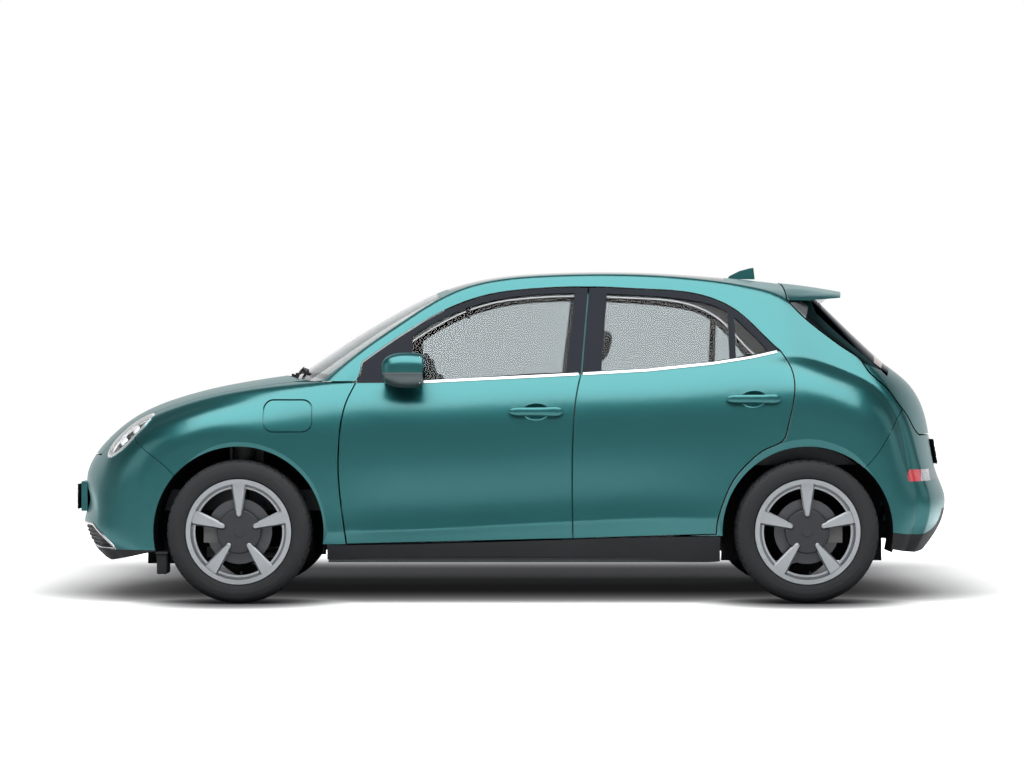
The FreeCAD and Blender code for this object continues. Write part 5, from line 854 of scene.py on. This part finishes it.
def tyre_shape(axle, side):
    shape = bmesh.new()
    section = HALF_SECTION + [(-depth, radius) for depth, radius in reversed(HALF_SECTION)]
    corners = [shape.verts.new((axle, side * (TYRE_CENTRE + depth), WHEEL_HEIGHT + radius))
               for depth, radius in section]
    ring = [shape.edges.new((a, b)) for a, b in zip(corners, corners[1:] + corners[:1])]
    bmesh.ops.spin(shape, geom=corners + ring, cent=(axle, 0.0, WHEEL_HEIGHT), axis=(0.0, 1.0, 0.0),
                   angle=math.tau, steps=TYRE_STEPS, use_merge=True, use_duplicate=False)
    bmesh.ops.recalc_face_normals(shape, faces=shape.faces)
    pockets = []
    for face in shape.faces:
        middle = face.calc_center_median()
        place = abs(abs(middle.y) - TYRE_CENTRE)
        turn = math.atan2(middle.x - axle, middle.z - WHEEL_HEIGHT) / math.tau * TYRE_STEPS
        reach = math.hypot(middle.x - axle, middle.z - WHEEL_HEIGHT)
        step = int(turn + TYRE_STEPS)
        on_shoulder = reach > 0.3270 and 0.062 < place < 0.092 and step % 3 == 0
        on_tread = reach > 0.3345 and place < 0.053 and step % 4 == 1
        if on_shoulder or on_tread:
            pockets.append(face)
    bmesh.ops.inset_individual(shape, faces=pockets, thickness=POCKET_INSET, depth=-POCKET_DEPTH)
    return shape


for end, axle in AXLES.items():
    for side_name, side in (("left", -1.0), ("right", 1.0)):
        name = end + "_" + side_name
        tyre = finish_piece("tread_tyre_" + name, tyre_shape(axle, side), rubber,
                            "wheel_" + name, "tyre_rubber", angle=28.0)
        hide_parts("tyre_" + name)
        print(tyre.name, "faces", len(tyre.data.polygons))

# %% [markdown]
# ## Valves
# Each rim has a short rubber valve with a metal cap near its flange, spun from a stepped outline.

# %% Valves
VALVE_OUTLINE = [(0.0, 0.0), (0.0050, 0.0), (0.0050, 0.012), (0.0038, 0.016), (0.0032, 0.024),
                 (0.0040, 0.0245), (0.0040, 0.033), (0.0030, 0.0345), (0.0, 0.0345)]
VALVE_WAY = (0.0, -0.35, 0.94)


def spun_outline(shape, outline, place, steps=20):
    """Spins an outline of (radius, height) about its own axis and puts it in place."""
    before = set(shape.verts)
    points = [shape.verts.new((radius, 0.0, height)) for radius, height in outline]
    edges = [shape.edges.new(pair) for pair in zip(points, points[1:])]
    bmesh.ops.spin(shape, geom=points + edges, cent=(0.0, 0.0, 0.0), axis=(0.0, 0.0, 1.0),
                   angle=math.tau, steps=steps, use_merge=True, use_duplicate=False)
    added = [v for v in shape.verts if v not in before]
    bmesh.ops.remove_doubles(shape, verts=added, dist=0.00001)
    added = [v for v in shape.verts if v not in before]
    bmesh.ops.transform(shape, matrix=place, verts=added)


def facing(origin, way):
    """A place whose own Z looks along a way."""
    place = Vector(way).to_track_quat("Z", "Y").to_matrix().to_4x4()
    place.translation = origin
    return place


def valve_shape(axle):
    def build():
        shape = bmesh.new()
        foot = (axle + 0.012, -0.8480, WHEEL_HEIGHT - 0.2195)
        spun_outline(shape, VALVE_OUTLINE, facing(foot, VALVE_WAY))
        return shape
    return build


for end, axle in AXLES.items():
    wheels = ("wheel_" + end + "_left", "wheel_" + end + "_right")
    pair_pieces("valve_" + end, valve_shape(axle), rubber, wheels, "tyre_rubber")
print("valves: 4")

# %% [markdown]
# ## Headlamp insides
# Behind the clear lens lies a grey stepped tray with two light modules and a bright ring. The
# tray is an oval whose rings are set in step by step; a ray finds how far the lens is, so the
# tray follows its curve at an even depth.

# %% Headlamp insides
lamp_frame = Matrix((LAMP_LONG, LAMP_WIDE, LAMP_WAY)).transposed().to_4x4()
lamp_frame.translation = LAMP_CENTRE
lens_tree = surface_of("headlamp_lenses")
tray_metal = moulded("lamp_tray", (0.20, 0.205, 0.21), 300.0, 0.00002, 0.15, (0.22, 0.32), metallic=0.8)
module_white = new_finish("lamp_module", (0.86, 0.88, 0.90), 0.12, 0.1, Coat_Weight=0.8)
uneven_gloss(module_white, 80.0, 0.08, 0.16)
rows = add_node(module_white, "ShaderNodeTexWave", bands_direction="DIAGONAL")
rows.inputs["Scale"].default_value = 90.0
link(module_white, place_output(module_white), rows.inputs["Vector"])
add_relief(module_white, rows.outputs["Fac"], 0.0006)
LENS_SHARE = 0.93
TRAY_STEPS = ((0.0165, 0.010), (0.022, 0.012), (0.026, 0.030), (0.040, 0.033), (0.043, 0.044),
              (0.070, 0.048))
MODULE_PLACES = (-0.044, 0.036)
MODULE_ACROSS = 0.006
RING_POINTS = 64
RING_SHRINK = 0.027
RING_BEHIND = 0.018


def lens_reach(long_place, wide_place):
    """How far in front of the lamp's centre plane the lens lies."""
    start = lamp_frame @ Vector((long_place, wide_place, 0.3))
    hit, _, _, _ = lens_tree.ray_cast(start, -LAMP_WAY)
    return 0.0 if hit is None else (hit - LAMP_CENTRE).dot(LAMP_WAY)


def oval_ring(shape, shrink, depth, segments=56):
    """Vertices of an oval inside the lamp, at a depth behind the lens."""
    made = bmesh.ops.create_circle(shape, cap_ends=False, radius=1.0, segments=segments)["verts"]
    for vert in made:
        long_place = vert.co.x * (LAMP_HALF_HEIGHT - shrink)
        wide_place = vert.co.y * (LAMP_HALF_WIDTH - shrink)
        reach = lens_reach(long_place * LENS_SHARE, wide_place * LENS_SHARE)
        vert.co = lamp_frame @ Vector((long_place, wide_place, reach - depth))
    return list({edge for vert in made for edge in vert.link_edges})


def tray_shape():
    shape = bmesh.new()
    loops = [oval_ring(shape, shrink, depth) for shrink, depth in TRAY_STEPS]
    for outer, inner in zip(loops, loops[1:]):
        bmesh.ops.bridge_loops(shape, edges=outer + inner)
    bmesh.ops.contextual_create(shape, geom=loops[-1])
    bmesh.ops.solidify(shape, geom=shape.faces[:], thickness=0.0015)
    return shape


def module_shape(long_place, width, height, depth, radius):
    def build():
        shape = bmesh.new()
        reach = lens_reach(long_place, MODULE_ACROSS)
        centre = Vector((long_place, MODULE_ACROSS, reach - depth))
        rounded_box(shape, centre, (height, width, 0.030), radius)
        bmesh.ops.transform(shape, matrix=lamp_frame, verts=shape.verts)
        return shape
    return build


lamp_pieces = pair_pieces("headlamp_tray", tray_shape, tray_metal, BOTH_BODY, "silver_plastic")
for k, long_place in enumerate(MODULE_PLACES):
    lamp_pieces += pair_pieces("headlamp_frame_%d" % k, module_shape(long_place, 0.076, 0.060, 0.036, 0.010),
                               black_plastic, BOTH_BODY, "black_plastic")
    lamp_pieces += pair_pieces("headlamp_module_%d" % k, module_shape(long_place, 0.058, 0.042, 0.030, 0.009),
                               module_white, BOTH_BODY, "silver_plastic")


def light_ring():
    shape = bmesh.new()
    points = []
    for k in range(RING_POINTS):
        turn = math.tau * k / RING_POINTS
        long_place = math.cos(turn) * (LAMP_HALF_HEIGHT - RING_SHRINK)
        wide_place = math.sin(turn) * (LAMP_HALF_WIDTH - RING_SHRINK)
        reach = lens_reach(long_place, wide_place) - RING_BEHIND
        points.append(lamp_frame @ Vector((long_place, wide_place, reach)))
    turns = [math.tau * k / 8 for k in range(8)]
    section = [(0.0035 * math.cos(turn), 0.0045 * math.sin(turn)) for turn in turns]
    sweep(shape, section, frames_along(points, [LAMP_WAY] * len(points), closed=True), closed=True)
    return shape


lamp_pieces += pair_pieces("headlamp_ring", light_ring, module_white, BOTH_BODY, "silver_plastic")
print("headlamp pieces:", len(lamp_pieces))

# %% [markdown]
# ## Frame of the lower grille
# A satin silver frame borders the lower mouth and comes to a point round each corner of the nose.
# It is one closed run, laid onto the bumper from the front along its level parts and from the
# side along its sloping ends.

# %% Grille frame
nose_tree = surface_of("front_bumper", "lower_cladding")
SLOPE_START = (-1.9957, 0.3640)
SLOPE_END = (-1.8680, 0.2570)
TOP_STEPS = 14
SLOPE_STEPS = 8
LOW_STEPS = 18
LOW_LEVEL = 0.2440
LOW_LIFT = Vector((0.0, 0.0, 0.010))


def from_front(y, z):
    return surface_at(nose_tree, (-3.0, y, z), (1.0, 0.0, 0.0))


def mouth_run():
    """Left half of the mouth's border, from the middle above round the corner to the middle below."""
    (x0, z0), (x1, z1) = SLOPE_START, SLOPE_END
    corner = on_left_side(nose_tree, x0, z0)[0]
    tip = on_left_side(nose_tree, x1, z1)[0]
    run = [from_front(corner.y * k / TOP_STEPS, z0) for k in range(TOP_STEPS)]
    run += [on_left_side(nose_tree, x0 + (x1 - x0) * k / SLOPE_STEPS, z0 + (z1 - z0) * k / SLOPE_STEPS)
            for k in range(SLOPE_STEPS + 1)]
    low = [from_front(tip.y * (1.0 - k / LOW_STEPS) * 0.985, LOW_LEVEL) for k in range(1, LOW_STEPS + 1)]
    low = [found and (found[0] + LOW_LIFT, found[1]) for found in low]
    return [found for found in run + low if found is not None]


left_run = mouth_run()
right_run = [(Vector((p.x, -p.y, p.z)), Vector((n.x, -n.y, n.z)))
             for p, n in reversed(left_run[1:-1])]
whole_run = left_run + right_run
mouth = bmesh.new()
mouth_frames = frames_along([p for p, _ in whole_run], [n for _, n in whole_run], closed=True)
sweep(mouth, strip_section(0.013, 0.004), mouth_frames, closed=True)
finish_piece("grille_frame", mouth, bright_trim, "body", "silver_plastic", angle=50.0)
print("grille frame points:", len(whole_run))

# %% [markdown]
# ## Mirror glass
# The glass of a door mirror is a flat rounded plate that faces rearwards. It is a flattened cube
# whose four corners are rounded last, and its back sits in the pocket of the mirror's head.

# %% Mirror glass
mirror_glass = new_finish("mirror_glass", (0.80, 0.82, 0.83), 0.03, 1.0)
uneven_gloss(mirror_glass, 20.0, 0.01, 0.05)


def mirror_plate():
    shape = bmesh.new()
    rounded_box(shape, (-0.4360, -0.929, 1.0885), (0.003, 0.134, 0.124), 0.0014, segments=2)
    corners = [edge for edge in shape.edges
               if abs((edge.verts[0].co - edge.verts[1].co).normalized().x) > 0.9]
    bmesh.ops.bevel(shape, geom=corners, offset=0.036, segments=6, profile=0.5, affect="EDGES",
                    material=-1, offset_type="OFFSET", clamp_overlap=True)
    return shape


mirrors = pair_pieces("mirror_glass", mirror_plate, mirror_glass, FRONT_DOORS, "silver_plastic")
print("mirror glasses:", len(mirrors))

# %% [markdown]
# ## Blank plates
# The number plates stay blank: a pale plate with a raised rim in a thin black holder. Each is a
# rounded box whose face is inset twice, once for the rim and once for the field.

# %% Plates
plate_white = moulded("plate_white", (0.72, 0.72, 0.71), 40.0, 0.00001, 0.04, (0.30, 0.40))
PLATE_SIZE = (0.520, 0.112)
HOLDER_RIM = 0.010
HOLDER_GAP = 0.0024
PLATE_GAP = 0.0064


def plate_shape(width, height):
    """A plate in its own frame: its face looks along +Z, its width lies across."""
    shape = bmesh.new()
    rounded_box(shape, (0.0, 0.0, 0.0), (height, width, 0.003), 0.0012, segments=2)
    for thickness, depth in ((0.004, 0.0), (0.002, -0.0012)):
        faces = [face for face in shape.faces if face.normal.z > 0.99 and face.calc_area() > 0.01]
        bmesh.ops.inset_region(shape, faces=faces, thickness=thickness, depth=depth)
    return shape


def holder_shape(width, height):
    shape = bmesh.new()
    rounded_box(shape, (0.0, 0.0, 0.0), (height, width, 0.006), 0.0025)
    return shape


def put_plate(name, low_hit, high_hit, way):
    """Seats a holder and a plate on two points of a bumper, one above the other."""
    width, height = PLATE_SIZE
    rise = (high_hit - low_hit).normalized()
    face_way = Vector((0.0, way, 0.0)).cross(rise)
    place = Matrix((rise, face_way.cross(rise), face_way)).transposed().to_4x4()
    holder = holder_shape(width + HOLDER_RIM, height + HOLDER_RIM)
    for part, shape, gap, material, slot in (
            ("_holder", holder, HOLDER_GAP, black_plastic, "black_plastic"),
            ("", plate_shape(width, height), PLATE_GAP, plate_white, "silver_plastic")):
        place.translation = (low_hit + high_hit) / 2 + face_way * gap
        bmesh.ops.transform(shape, matrix=place, verts=shape.verts)
        finish_piece(name + part, shape, material, "body", slot)


tail_tree = surface_of("rear_bumper", "tailgate")


def from_back(z):
    return tail_tree.ray_cast(Vector((3.0, 0.0, z)), Vector((-1.0, 0.0, 0.0)))[0]


nose_hit = from_front(0.0, 0.482)[0]
half_rise = Vector((0.0, 0.0, 0.05))
tail_hits = (from_back(0.655), from_back(0.745))
put_plate("front_plate", nose_hit - half_rise, nose_hit + half_rise, -1.0)
put_plate("rear_plate", *tail_hits, 1.0)
print("plates at", round(nose_hit.x, 3), round(tail_hits[0].x, 3))

# %% [markdown]
# ## Splash panels
# Behind each wheel a ribbed plastic wall shields the parts under the car from spray, and a
# short flap ahead of each front wheel turns the air away from the tyre. They are flat boxes with
# rounded edges and a row of ribs, so that light can't pass from side to side through the wheels.


# %% Splash panels
RIBS = 7
RIB_SHARE = 0.86


def splash_wall(start, end, low, high, side):
    """A thin upright wall along the car with a foot and stiffening ribs on its outer face."""
    def build():
        shape = bmesh.new()
        middle = ((start + end) / 2, -side, (low + high) / 2)
        rounded_box(shape, middle, (end - start, 0.006, high - low), 0.002)
        rounded_box(shape, (middle[0], -side + 0.015, low + 0.004), (end - start, 0.036, 0.006), 0.002)
        for rib in range(RIBS):
            place = (start + (end - start) * (rib + 0.5) / RIBS, -side - 0.006, middle[2])
            rounded_box(shape, place, (0.012, 0.010, (high - low) * RIB_SHARE), 0.003)
        return shape
    return build


def air_flap():
    """The flap that hangs ahead of a front wheel."""
    shape = bmesh.new()
    rounded_box(shape, (-1.6425, -0.790, 0.190), (0.050, 0.130, 0.104), 0.008)
    rounded_box(shape, (-1.6425, -0.790, 0.236), (0.060, 0.150, 0.010), 0.003)
    return shape


pair_pieces("front_splash_wall", splash_wall(-1.76, -0.96, 0.165, 0.765, 0.430), liner_plastic,
            BOTH_BODY, "black_plastic")
pair_pieces("rear_splash_wall", splash_wall(0.98, 1.74, 0.190, 0.640, 0.620), liner_plastic,
            BOTH_BODY, "black_plastic")
pair_pieces("front_air_flap", air_flap, black_plastic, BOTH_BODY, "black_plastic")
print("splash panels: 6")

# %% [markdown]
# ## Seats
# A car seat is foam under a tight cover: panels bulge between their seams and stay flat only where
# they rest. Each pad starts as a side outline, drawn across and rounded, a little too small. It is
# remeshed evenly and swollen by a cloth simulation with air pressure, then its sewn channels are
# pressed in. The pads stand for the plain CAD seats, on a moulded base.

# %% Seat covers
panel_cloth = moulded("panel_cloth", (0.050, 0.053, 0.057), 1200.0, 0.0002, 0.25, (0.85, 0.95),
                      Specular_IOR_Level=0.1)
for direction in ("X", "Y", "Z"):
    threads = add_node(panel_cloth, "ShaderNodeTexWave", bands_direction=direction)
    threads.inputs["Scale"].default_value = 210.0
    threads.inputs["Distortion"].default_value = 0.6
    link(panel_cloth, place_output(panel_cloth), threads.inputs["Vector"])
    add_relief(panel_cloth, threads.outputs["Fac"], 0.00018, 0.7)
cover_hide = moulded("cover_hide", (0.017, 0.018, 0.020), 340.0, 0.00022, 0.15, (0.45, 0.58),
                     Specular_IOR_Level=0.3)
PAD_VOXEL = 0.0085
PAD_PRESSURE = 4.0
PAD_CAP = 0.024
SWELL_FRAMES = 20


def evaluated_copy(obj):
    """The mesh that an object shows, with its modifiers."""
    return bpy.data.meshes.new_from_object(obj.evaluated_get(bpy.context.evaluated_depsgraph_get()))


def swell(obj):
    """Remeshes a pad evenly and fills it with air pressure. No point moves further than the cap."""
    remesh = obj.modifiers.new("even", "REMESH")
    remesh.mode = "VOXEL"
    remesh.voxel_size = PAD_VOXEL
    obj.data = evaluated_copy(obj)
    obj.modifiers.clear()
    start = [v.co.copy() for v in obj.data.vertices]
    rests = [v.normal.z < -0.75 for v in obj.data.vertices]
    cloth = obj.modifiers.new("swell", "CLOTH")
    cloth.settings.use_pressure = True
    cloth.settings.uniform_pressure_force = PAD_PRESSURE
    cloth.settings.effector_weights.gravity = 0.0
    cloth.settings.quality = 4
    cloth.collision_settings.use_collision = False
    for frame_number in range(1, SWELL_FRAMES + 1):
        scene.frame_set(frame_number)
    swollen = evaluated_copy(obj)
    obj.modifiers.clear()
    scene.frame_set(1)
    middle = sum(((v.co - old) for v, old in zip(swollen.vertices, start)), Vector()) / len(start)
    for vert, new, old, rest in zip(obj.data.vertices, swollen.vertices, start, rests):
        move = new.co - old - middle
        if move.length > PAD_CAP:
            move = move.normalized() * PAD_CAP
        vert.co = old + (Vector((move.x, move.y, 0.0)) if rest else move)
    smooth = obj.modifiers.new("finer", "SUBSURF")
    smooth.levels = smooth.render_levels = 1
    obj.data = evaluated_copy(obj)
    obj.modifiers.clear()


def press_channels(mesh, channels, depth=0.006, width=0.007):
    """Presses sewn channels into a pad: each is a flat cut through it, given by a point and a way."""
    moves = []
    for vert in mesh.vertices:
        fall = 0.0
        for point, way in channels:
            off = (vert.co - Vector(point)).dot(Vector(way).normalized())
            fall = max(fall, math.exp(-(off / width) ** 2))
        moves.append(-vert.normal * depth * fall)
    for vert, move in zip(mesh.vertices, moves):
        vert.co += move


def pad_shape(outline, low, high, rounding):
    shape = bmesh.new()
    corners = [shape.verts.new((x, low, z)) for x, z in outline]
    edges = [shape.edges.new(pair) for pair in zip(corners, corners[1:] + corners[:1])]
    bmesh.ops.contextual_create(shape, geom=edges)
    drawn = bmesh.ops.extrude_face_region(shape, geom=shape.faces[:])["geom"]
    bmesh.ops.translate(shape, vec=(0.0, high - low, 0.0),
                        verts=[item for item in drawn if isinstance(item, bmesh.types.BMVert)])
    bmesh.ops.recalc_face_normals(shape, faces=shape.faces)
    bmesh.ops.bevel(shape, geom=shape.edges[:], offset=rounding, segments=3, profile=0.5, affect="EDGES",
                    material=-1, offset_type="OFFSET", clamp_overlap=True)
    return shape


def soft_pad(name, outline, low, high, material, channels=(), rounding=0.012):
    shape = pad_shape(outline, low, high, rounding)
    pad = finish_piece(name, shape, material, "body", "seat_cloth", angle=60.0)
    swell(pad)
    pad.data.materials.clear()
    pad.data.materials.append(material)
    if channels:
        press_channels(pad.data, channels)
    pad.data.shade_smooth()
    return pad


def other_side_copy(pad, name):
    """The mirror image of a pad, for the other front seat."""
    shape = bmesh.new()
    shape.from_mesh(pad.data)
    bmesh.ops.scale(shape, vec=(1.0, -1.0, 1.0), verts=shape.verts)
    bmesh.ops.reverse_faces(shape, faces=shape.faces)
    mesh = bpy.data.meshes.new(name)
    shape.to_mesh(mesh)
    shape.free()
    mesh.materials.append(pad.data.materials[0])
    mesh.shade_smooth()
    copy = bpy.data.objects.new(name, mesh)
    scene.collection.objects.link(copy)
    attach(copy, "body")
    return copy


# %% [markdown]
# The front seats have a channelled middle panel between two raised bolsters, for the cushion and
# for the back, and a head restraint on two posts. The left seat's pads are mirrored for the right.

# %% Front seats
SEAT_MIDDLE = -0.370
CUSHION = [(-0.196, 0.420), (0.300, 0.400), (0.314, 0.512), (0.10, 0.520), (-0.10, 0.544),
           (-0.200, 0.536)]
CUSHION_SIDE = [(-0.188, 0.420), (0.250, 0.402), (0.258, 0.536), (0.02, 0.560), (-0.14, 0.562),
                (-0.194, 0.528)]
BACK = [(0.216, 0.520), (0.316, 0.440), (0.376, 0.700), (0.438, 1.095), (0.372, 1.122),
        (0.322, 0.900), (0.264, 0.640)]
BACK_SIDE = [(0.196, 0.590), (0.304, 0.500), (0.370, 0.750), (0.424, 1.010), (0.348, 1.050),
             (0.268, 0.860)]
REST = [(0.378, 1.142), (0.426, 1.132), (0.472, 1.262), (0.452, 1.282), (0.416, 1.284)]
cushion_channels = [((x, 0.0, 0.5), (1.0, 0.0, 0.05)) for x in (-0.12, -0.03, 0.06, 0.15)]
back_channels = [((0.28, 0.0, z), (-0.23, 0.0, 0.97)) for z in (0.66, 0.76, 0.86, 0.96, 1.05)]
LEFT_PADS = [
    ("front_cushion_left", CUSHION, -0.150, 0.150, panel_cloth, cushion_channels, 0.012),
    ("cushion_bolster_out_left", CUSHION_SIDE, -0.238, -0.166, cover_hide, (), 0.012),
    ("cushion_bolster_in_left", CUSHION_SIDE, 0.166, 0.238, cover_hide, (), 0.012),
    ("front_back_left", BACK, -0.145, 0.145, panel_cloth, back_channels, 0.012),
    ("back_bolster_out_left", BACK_SIDE, -0.236, -0.160, cover_hide, (), 0.012),
    ("back_bolster_in_left", BACK_SIDE, 0.160, 0.236, cover_hide, (), 0.012),
    ("head_restraint_left", REST, -0.112, 0.112, cover_hide, (), 0.016),
]
left_pads = [soft_pad(name, outline, SEAT_MIDDLE + low, SEAT_MIDDLE + high, material, channels, rounding)
             for name, outline, low, high, material, channels, rounding in LEFT_PADS]
right_pads = [other_side_copy(pad, pad.name.replace("_left", "_right")) for pad in left_pads]


def seat_base():
    shape = bmesh.new()
    rounded_box(shape, (0.055, SEAT_MIDDLE, 0.365), (0.47, 0.46, 0.085), 0.020)
    for y in (-0.205, 0.205):
        rounded_box(shape, (0.060, SEAT_MIDDLE + y, 0.302), (0.50, 0.040, 0.046), 0.006)
    rounded_box(shape, (0.290, SEAT_MIDDLE - 0.226, 0.430), (0.11, 0.030, 0.13), 0.012)
    return shape


def rest_posts():
    shape = bmesh.new()
    for y in (-0.055, 0.055):
        start = Vector((0.398, SEAT_MIDDLE + y, 1.085))
        place = facing(start, Vector((0.26, 0.0, 0.965)).normalized())
        spun_outline(shape, [(0.0, 0.0), (0.0055, 0.001), (0.0055, 0.099), (0.0, 0.100)], place)
        spun_outline(shape, [(0.0, 0.018), (0.014, 0.020), (0.013, 0.034), (0.0056, 0.037)], place)
    return shape


bases = pair_pieces("front_seat_base", seat_base, cabin_plastic, BOTH_BODY, "black_plastic")
pair_pieces("head_restraint_posts", rest_posts, bright_trim, BOTH_BODY, "silver_plastic")
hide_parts("front_seats")
print("front seat pads:", len(left_pads + right_pads))

# %% [markdown]
# The rear bench is one wide cushion and one back with three marked places, and three low head
# restraints.

# %% Rear seat
BENCH = [(0.812, 0.440), (0.882, 0.440), (0.904, 0.530), (1.222, 0.530), (1.228, 0.542), (1.00, 0.550),
         (0.84, 0.568), (0.808, 0.552)]
BENCH_BACK = [(1.200, 0.560), (1.262, 0.548), (1.392, 1.090), (1.366, 1.102), (1.326, 1.030),
              (1.206, 0.620)]
BENCH_HALF = 0.492
BENCH_REST = [(1.360, 1.122), (1.398, 1.116), (1.416, 1.196), (1.392, 1.208)]
bench_channels = [((1.0, y, 0.55), (0.0, 1.0, 0.0)) for y in (-0.17, 0.17)]
bench_channels += [((x, 0.0, 0.55), (1.0, 0.0, 0.0)) for x in (0.92, 1.03, 1.14)]
bench_back_channels = [((1.3, y, 0.8), (0.0, 1.0, 0.0)) for y in (-0.17, 0.17)]
bench_back_channels += [((1.27, 0.0, z), (-0.27, 0.0, 0.96)) for z in (0.72, 0.83, 0.94)]
bench = soft_pad("rear_cushion", BENCH, -BENCH_HALF, BENCH_HALF, panel_cloth, bench_channels)
soft_pad("rear_back", BENCH_BACK, -BENCH_HALF, BENCH_HALF, panel_cloth, bench_back_channels)
for k, y in enumerate((-0.330, 0.0, 0.330)):
    soft_pad("rear_restraint_%d" % k, BENCH_REST, y - 0.105, y + 0.105, cover_hide, rounding=0.010)
bench_foot = bmesh.new()
rounded_box(bench_foot, (0.848, 0.0, 0.358), (0.072, 0.98, 0.156), 0.010)
finish_piece("rear_seat_base", bench_foot, cabin_plastic, "body", "black_plastic")
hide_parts("rear_seat")
print("rear seat pads: 5")

# %% [markdown]
# ## Cabin details
# Through the glass one sees screens, air vents, an inner mirror, arm rests and door pulls. They
# are rounded boxes and spun rings, each seated on the dashboard, the roof or a door.

# %% Dashboard details
screen_glass = moulded("screen_glass", (0.006, 0.006, 0.008), 30.0, 0.000001, 0.2, (0.05, 0.09),
                       Specular_IOR_Level=0.3)
lean_back = Matrix.Rotation(math.radians(-14.0), 4, "Y")
VENT_HEIGHT = 0.935
DISPLAYS = [
    ("driver_display_case", (-0.560, -0.370, 1.058), 0.280, 0.120, 0.024, cabin_plastic, "black_plastic"),
    ("driver_display", (-0.5475, -0.370, 1.0605), 0.250, 0.096, 0.006, screen_glass, "dark_glass"),
    ("centre_display_case", (-0.548, 0.0, 1.062), 0.330, 0.200, 0.020, cabin_plastic, "black_plastic"),
    ("centre_display", (-0.5375, 0.0, 1.0645), 0.316, 0.186, 0.006, screen_glass, "dark_glass"),
]


def slab(centre, width, height, thickness):
    shape = bmesh.new()
    rounded_box(shape, centre, (thickness, width, height), thickness * 0.42, turn=lean_back)
    return shape


for name, centre, width, height, thickness, material, slot in DISPLAYS:
    finish_piece(name, slab(centre, width, height, thickness), material, "body", slot)
dash_tree = surface_of("dashboard")


def vent(y):
    def build():
        hit, out_way = surface_at(dash_tree, (-0.2, y, VENT_HEIGHT), (-1.0, 0.0, 0.0))
        shape = bmesh.new()
        ring = [(0.046, -0.004), (0.048, 0.006), (0.043, 0.011), (0.037, 0.009), (0.035, -0.002),
                (0.0, -0.002)]
        spun_outline(shape, ring, facing(hit, out_way), steps=36)
        for k in range(-2, 3):
            rounded_box(shape, hit + out_way * 0.004 + Vector((0.0, 0.0, 0.012 * k)),
                        (0.006, 0.062 - 0.010 * abs(k), 0.0022), 0.0009, segments=1)
        return shape
    return build


pair_pieces("outer_vent", vent(-0.600), bright_trim, BOTH_BODY, "silver_plastic")
pair_pieces("inner_vent", vent(-0.215), bright_trim, BOTH_BODY, "silver_plastic")
WHEEL_HUB = Vector((-0.3507, -0.370, 0.9971))
COLUMN_WAY = Vector((0.906, 0.0, 0.423)).normalized()
pad = bmesh.new()
rounded_box(pad, (0.0, 0.0, 0.014), (0.115, 0.150, 0.040), 0.016, segments=4)
bmesh.ops.transform(pad, matrix=facing(WHEEL_HUB, COLUMN_WAY), verts=pad.verts)
finish_piece("steering_wheel_pad", pad, cover_hide, "steering_body", "black_plastic")
print("dashboard pieces: 9")

# %% Roof and door details
screen_tree = surface_of("windscreen", "body_shell", "roof_glass")
MIRROR_SPOT = Vector((-0.230, 0.0, 1.385))
roof_hit = screen_tree.ray_cast(MIRROR_SPOT, Vector((-0.35, 0.0, 0.94)).normalized())[0]
inner_mirror = bmesh.new()
rounded_box(inner_mirror, MIRROR_SPOT, (0.022, 0.235, 0.062), 0.0105, segments=4)
stalk_way = roof_hit - MIRROR_SPOT
stalk = stalk_way.length
spun_outline(inner_mirror, [(0.0, 0.0), (0.007, 0.002), (0.006, stalk - 0.012), (0.020, stalk - 0.004),
                            (0.0, stalk - 0.001)], facing(MIRROR_SPOT, stalk_way))
finish_piece("inner_mirror", inner_mirror, cabin_plastic, "body", "black_plastic")


def arm_rest(x, length):
    def build():
        shape = bmesh.new()
        rounded_box(shape, (x, -0.744, 0.735), (length, 0.052, 0.046), 0.016, segments=4)
        rounded_box(shape, (x - length * 0.22, -0.760, 0.655), (length * 1.25, 0.020, 0.120), 0.009)
        return shape
    return build


def door_pull(x):
    def build():
        shape = bmesh.new()
        rounded_box(shape, (x, -0.7635, 0.905), (0.120, 0.012, 0.050), 0.0055)
        rounded_box(shape, (x + 0.008, -0.7540, 0.905), (0.085, 0.010, 0.020), 0.0045)
        return shape
    return build


pair_pieces("front_arm_rest", arm_rest(0.02, 0.40), cabin_plastic, FRONT_DOORS, "black_plastic")
pair_pieces("rear_arm_rest", arm_rest(0.76, 0.30), cabin_plastic, REAR_DOORS, "black_plastic")
pair_pieces("front_door_pull", door_pull(-0.26), bright_trim, FRONT_DOORS, "silver_plastic")
pair_pieces("rear_door_pull", door_pull(0.52), bright_trim, REAR_DOORS, "silver_plastic")
shelf = bmesh.new()
rounded_box(shelf, (1.600, 0.0, 0.985), (0.340, 1.000, 0.018), 0.008)
finish_piece("load_cover", shelf, cabin_plastic, "body", "black_plastic")
print("roof and door pieces: 10")
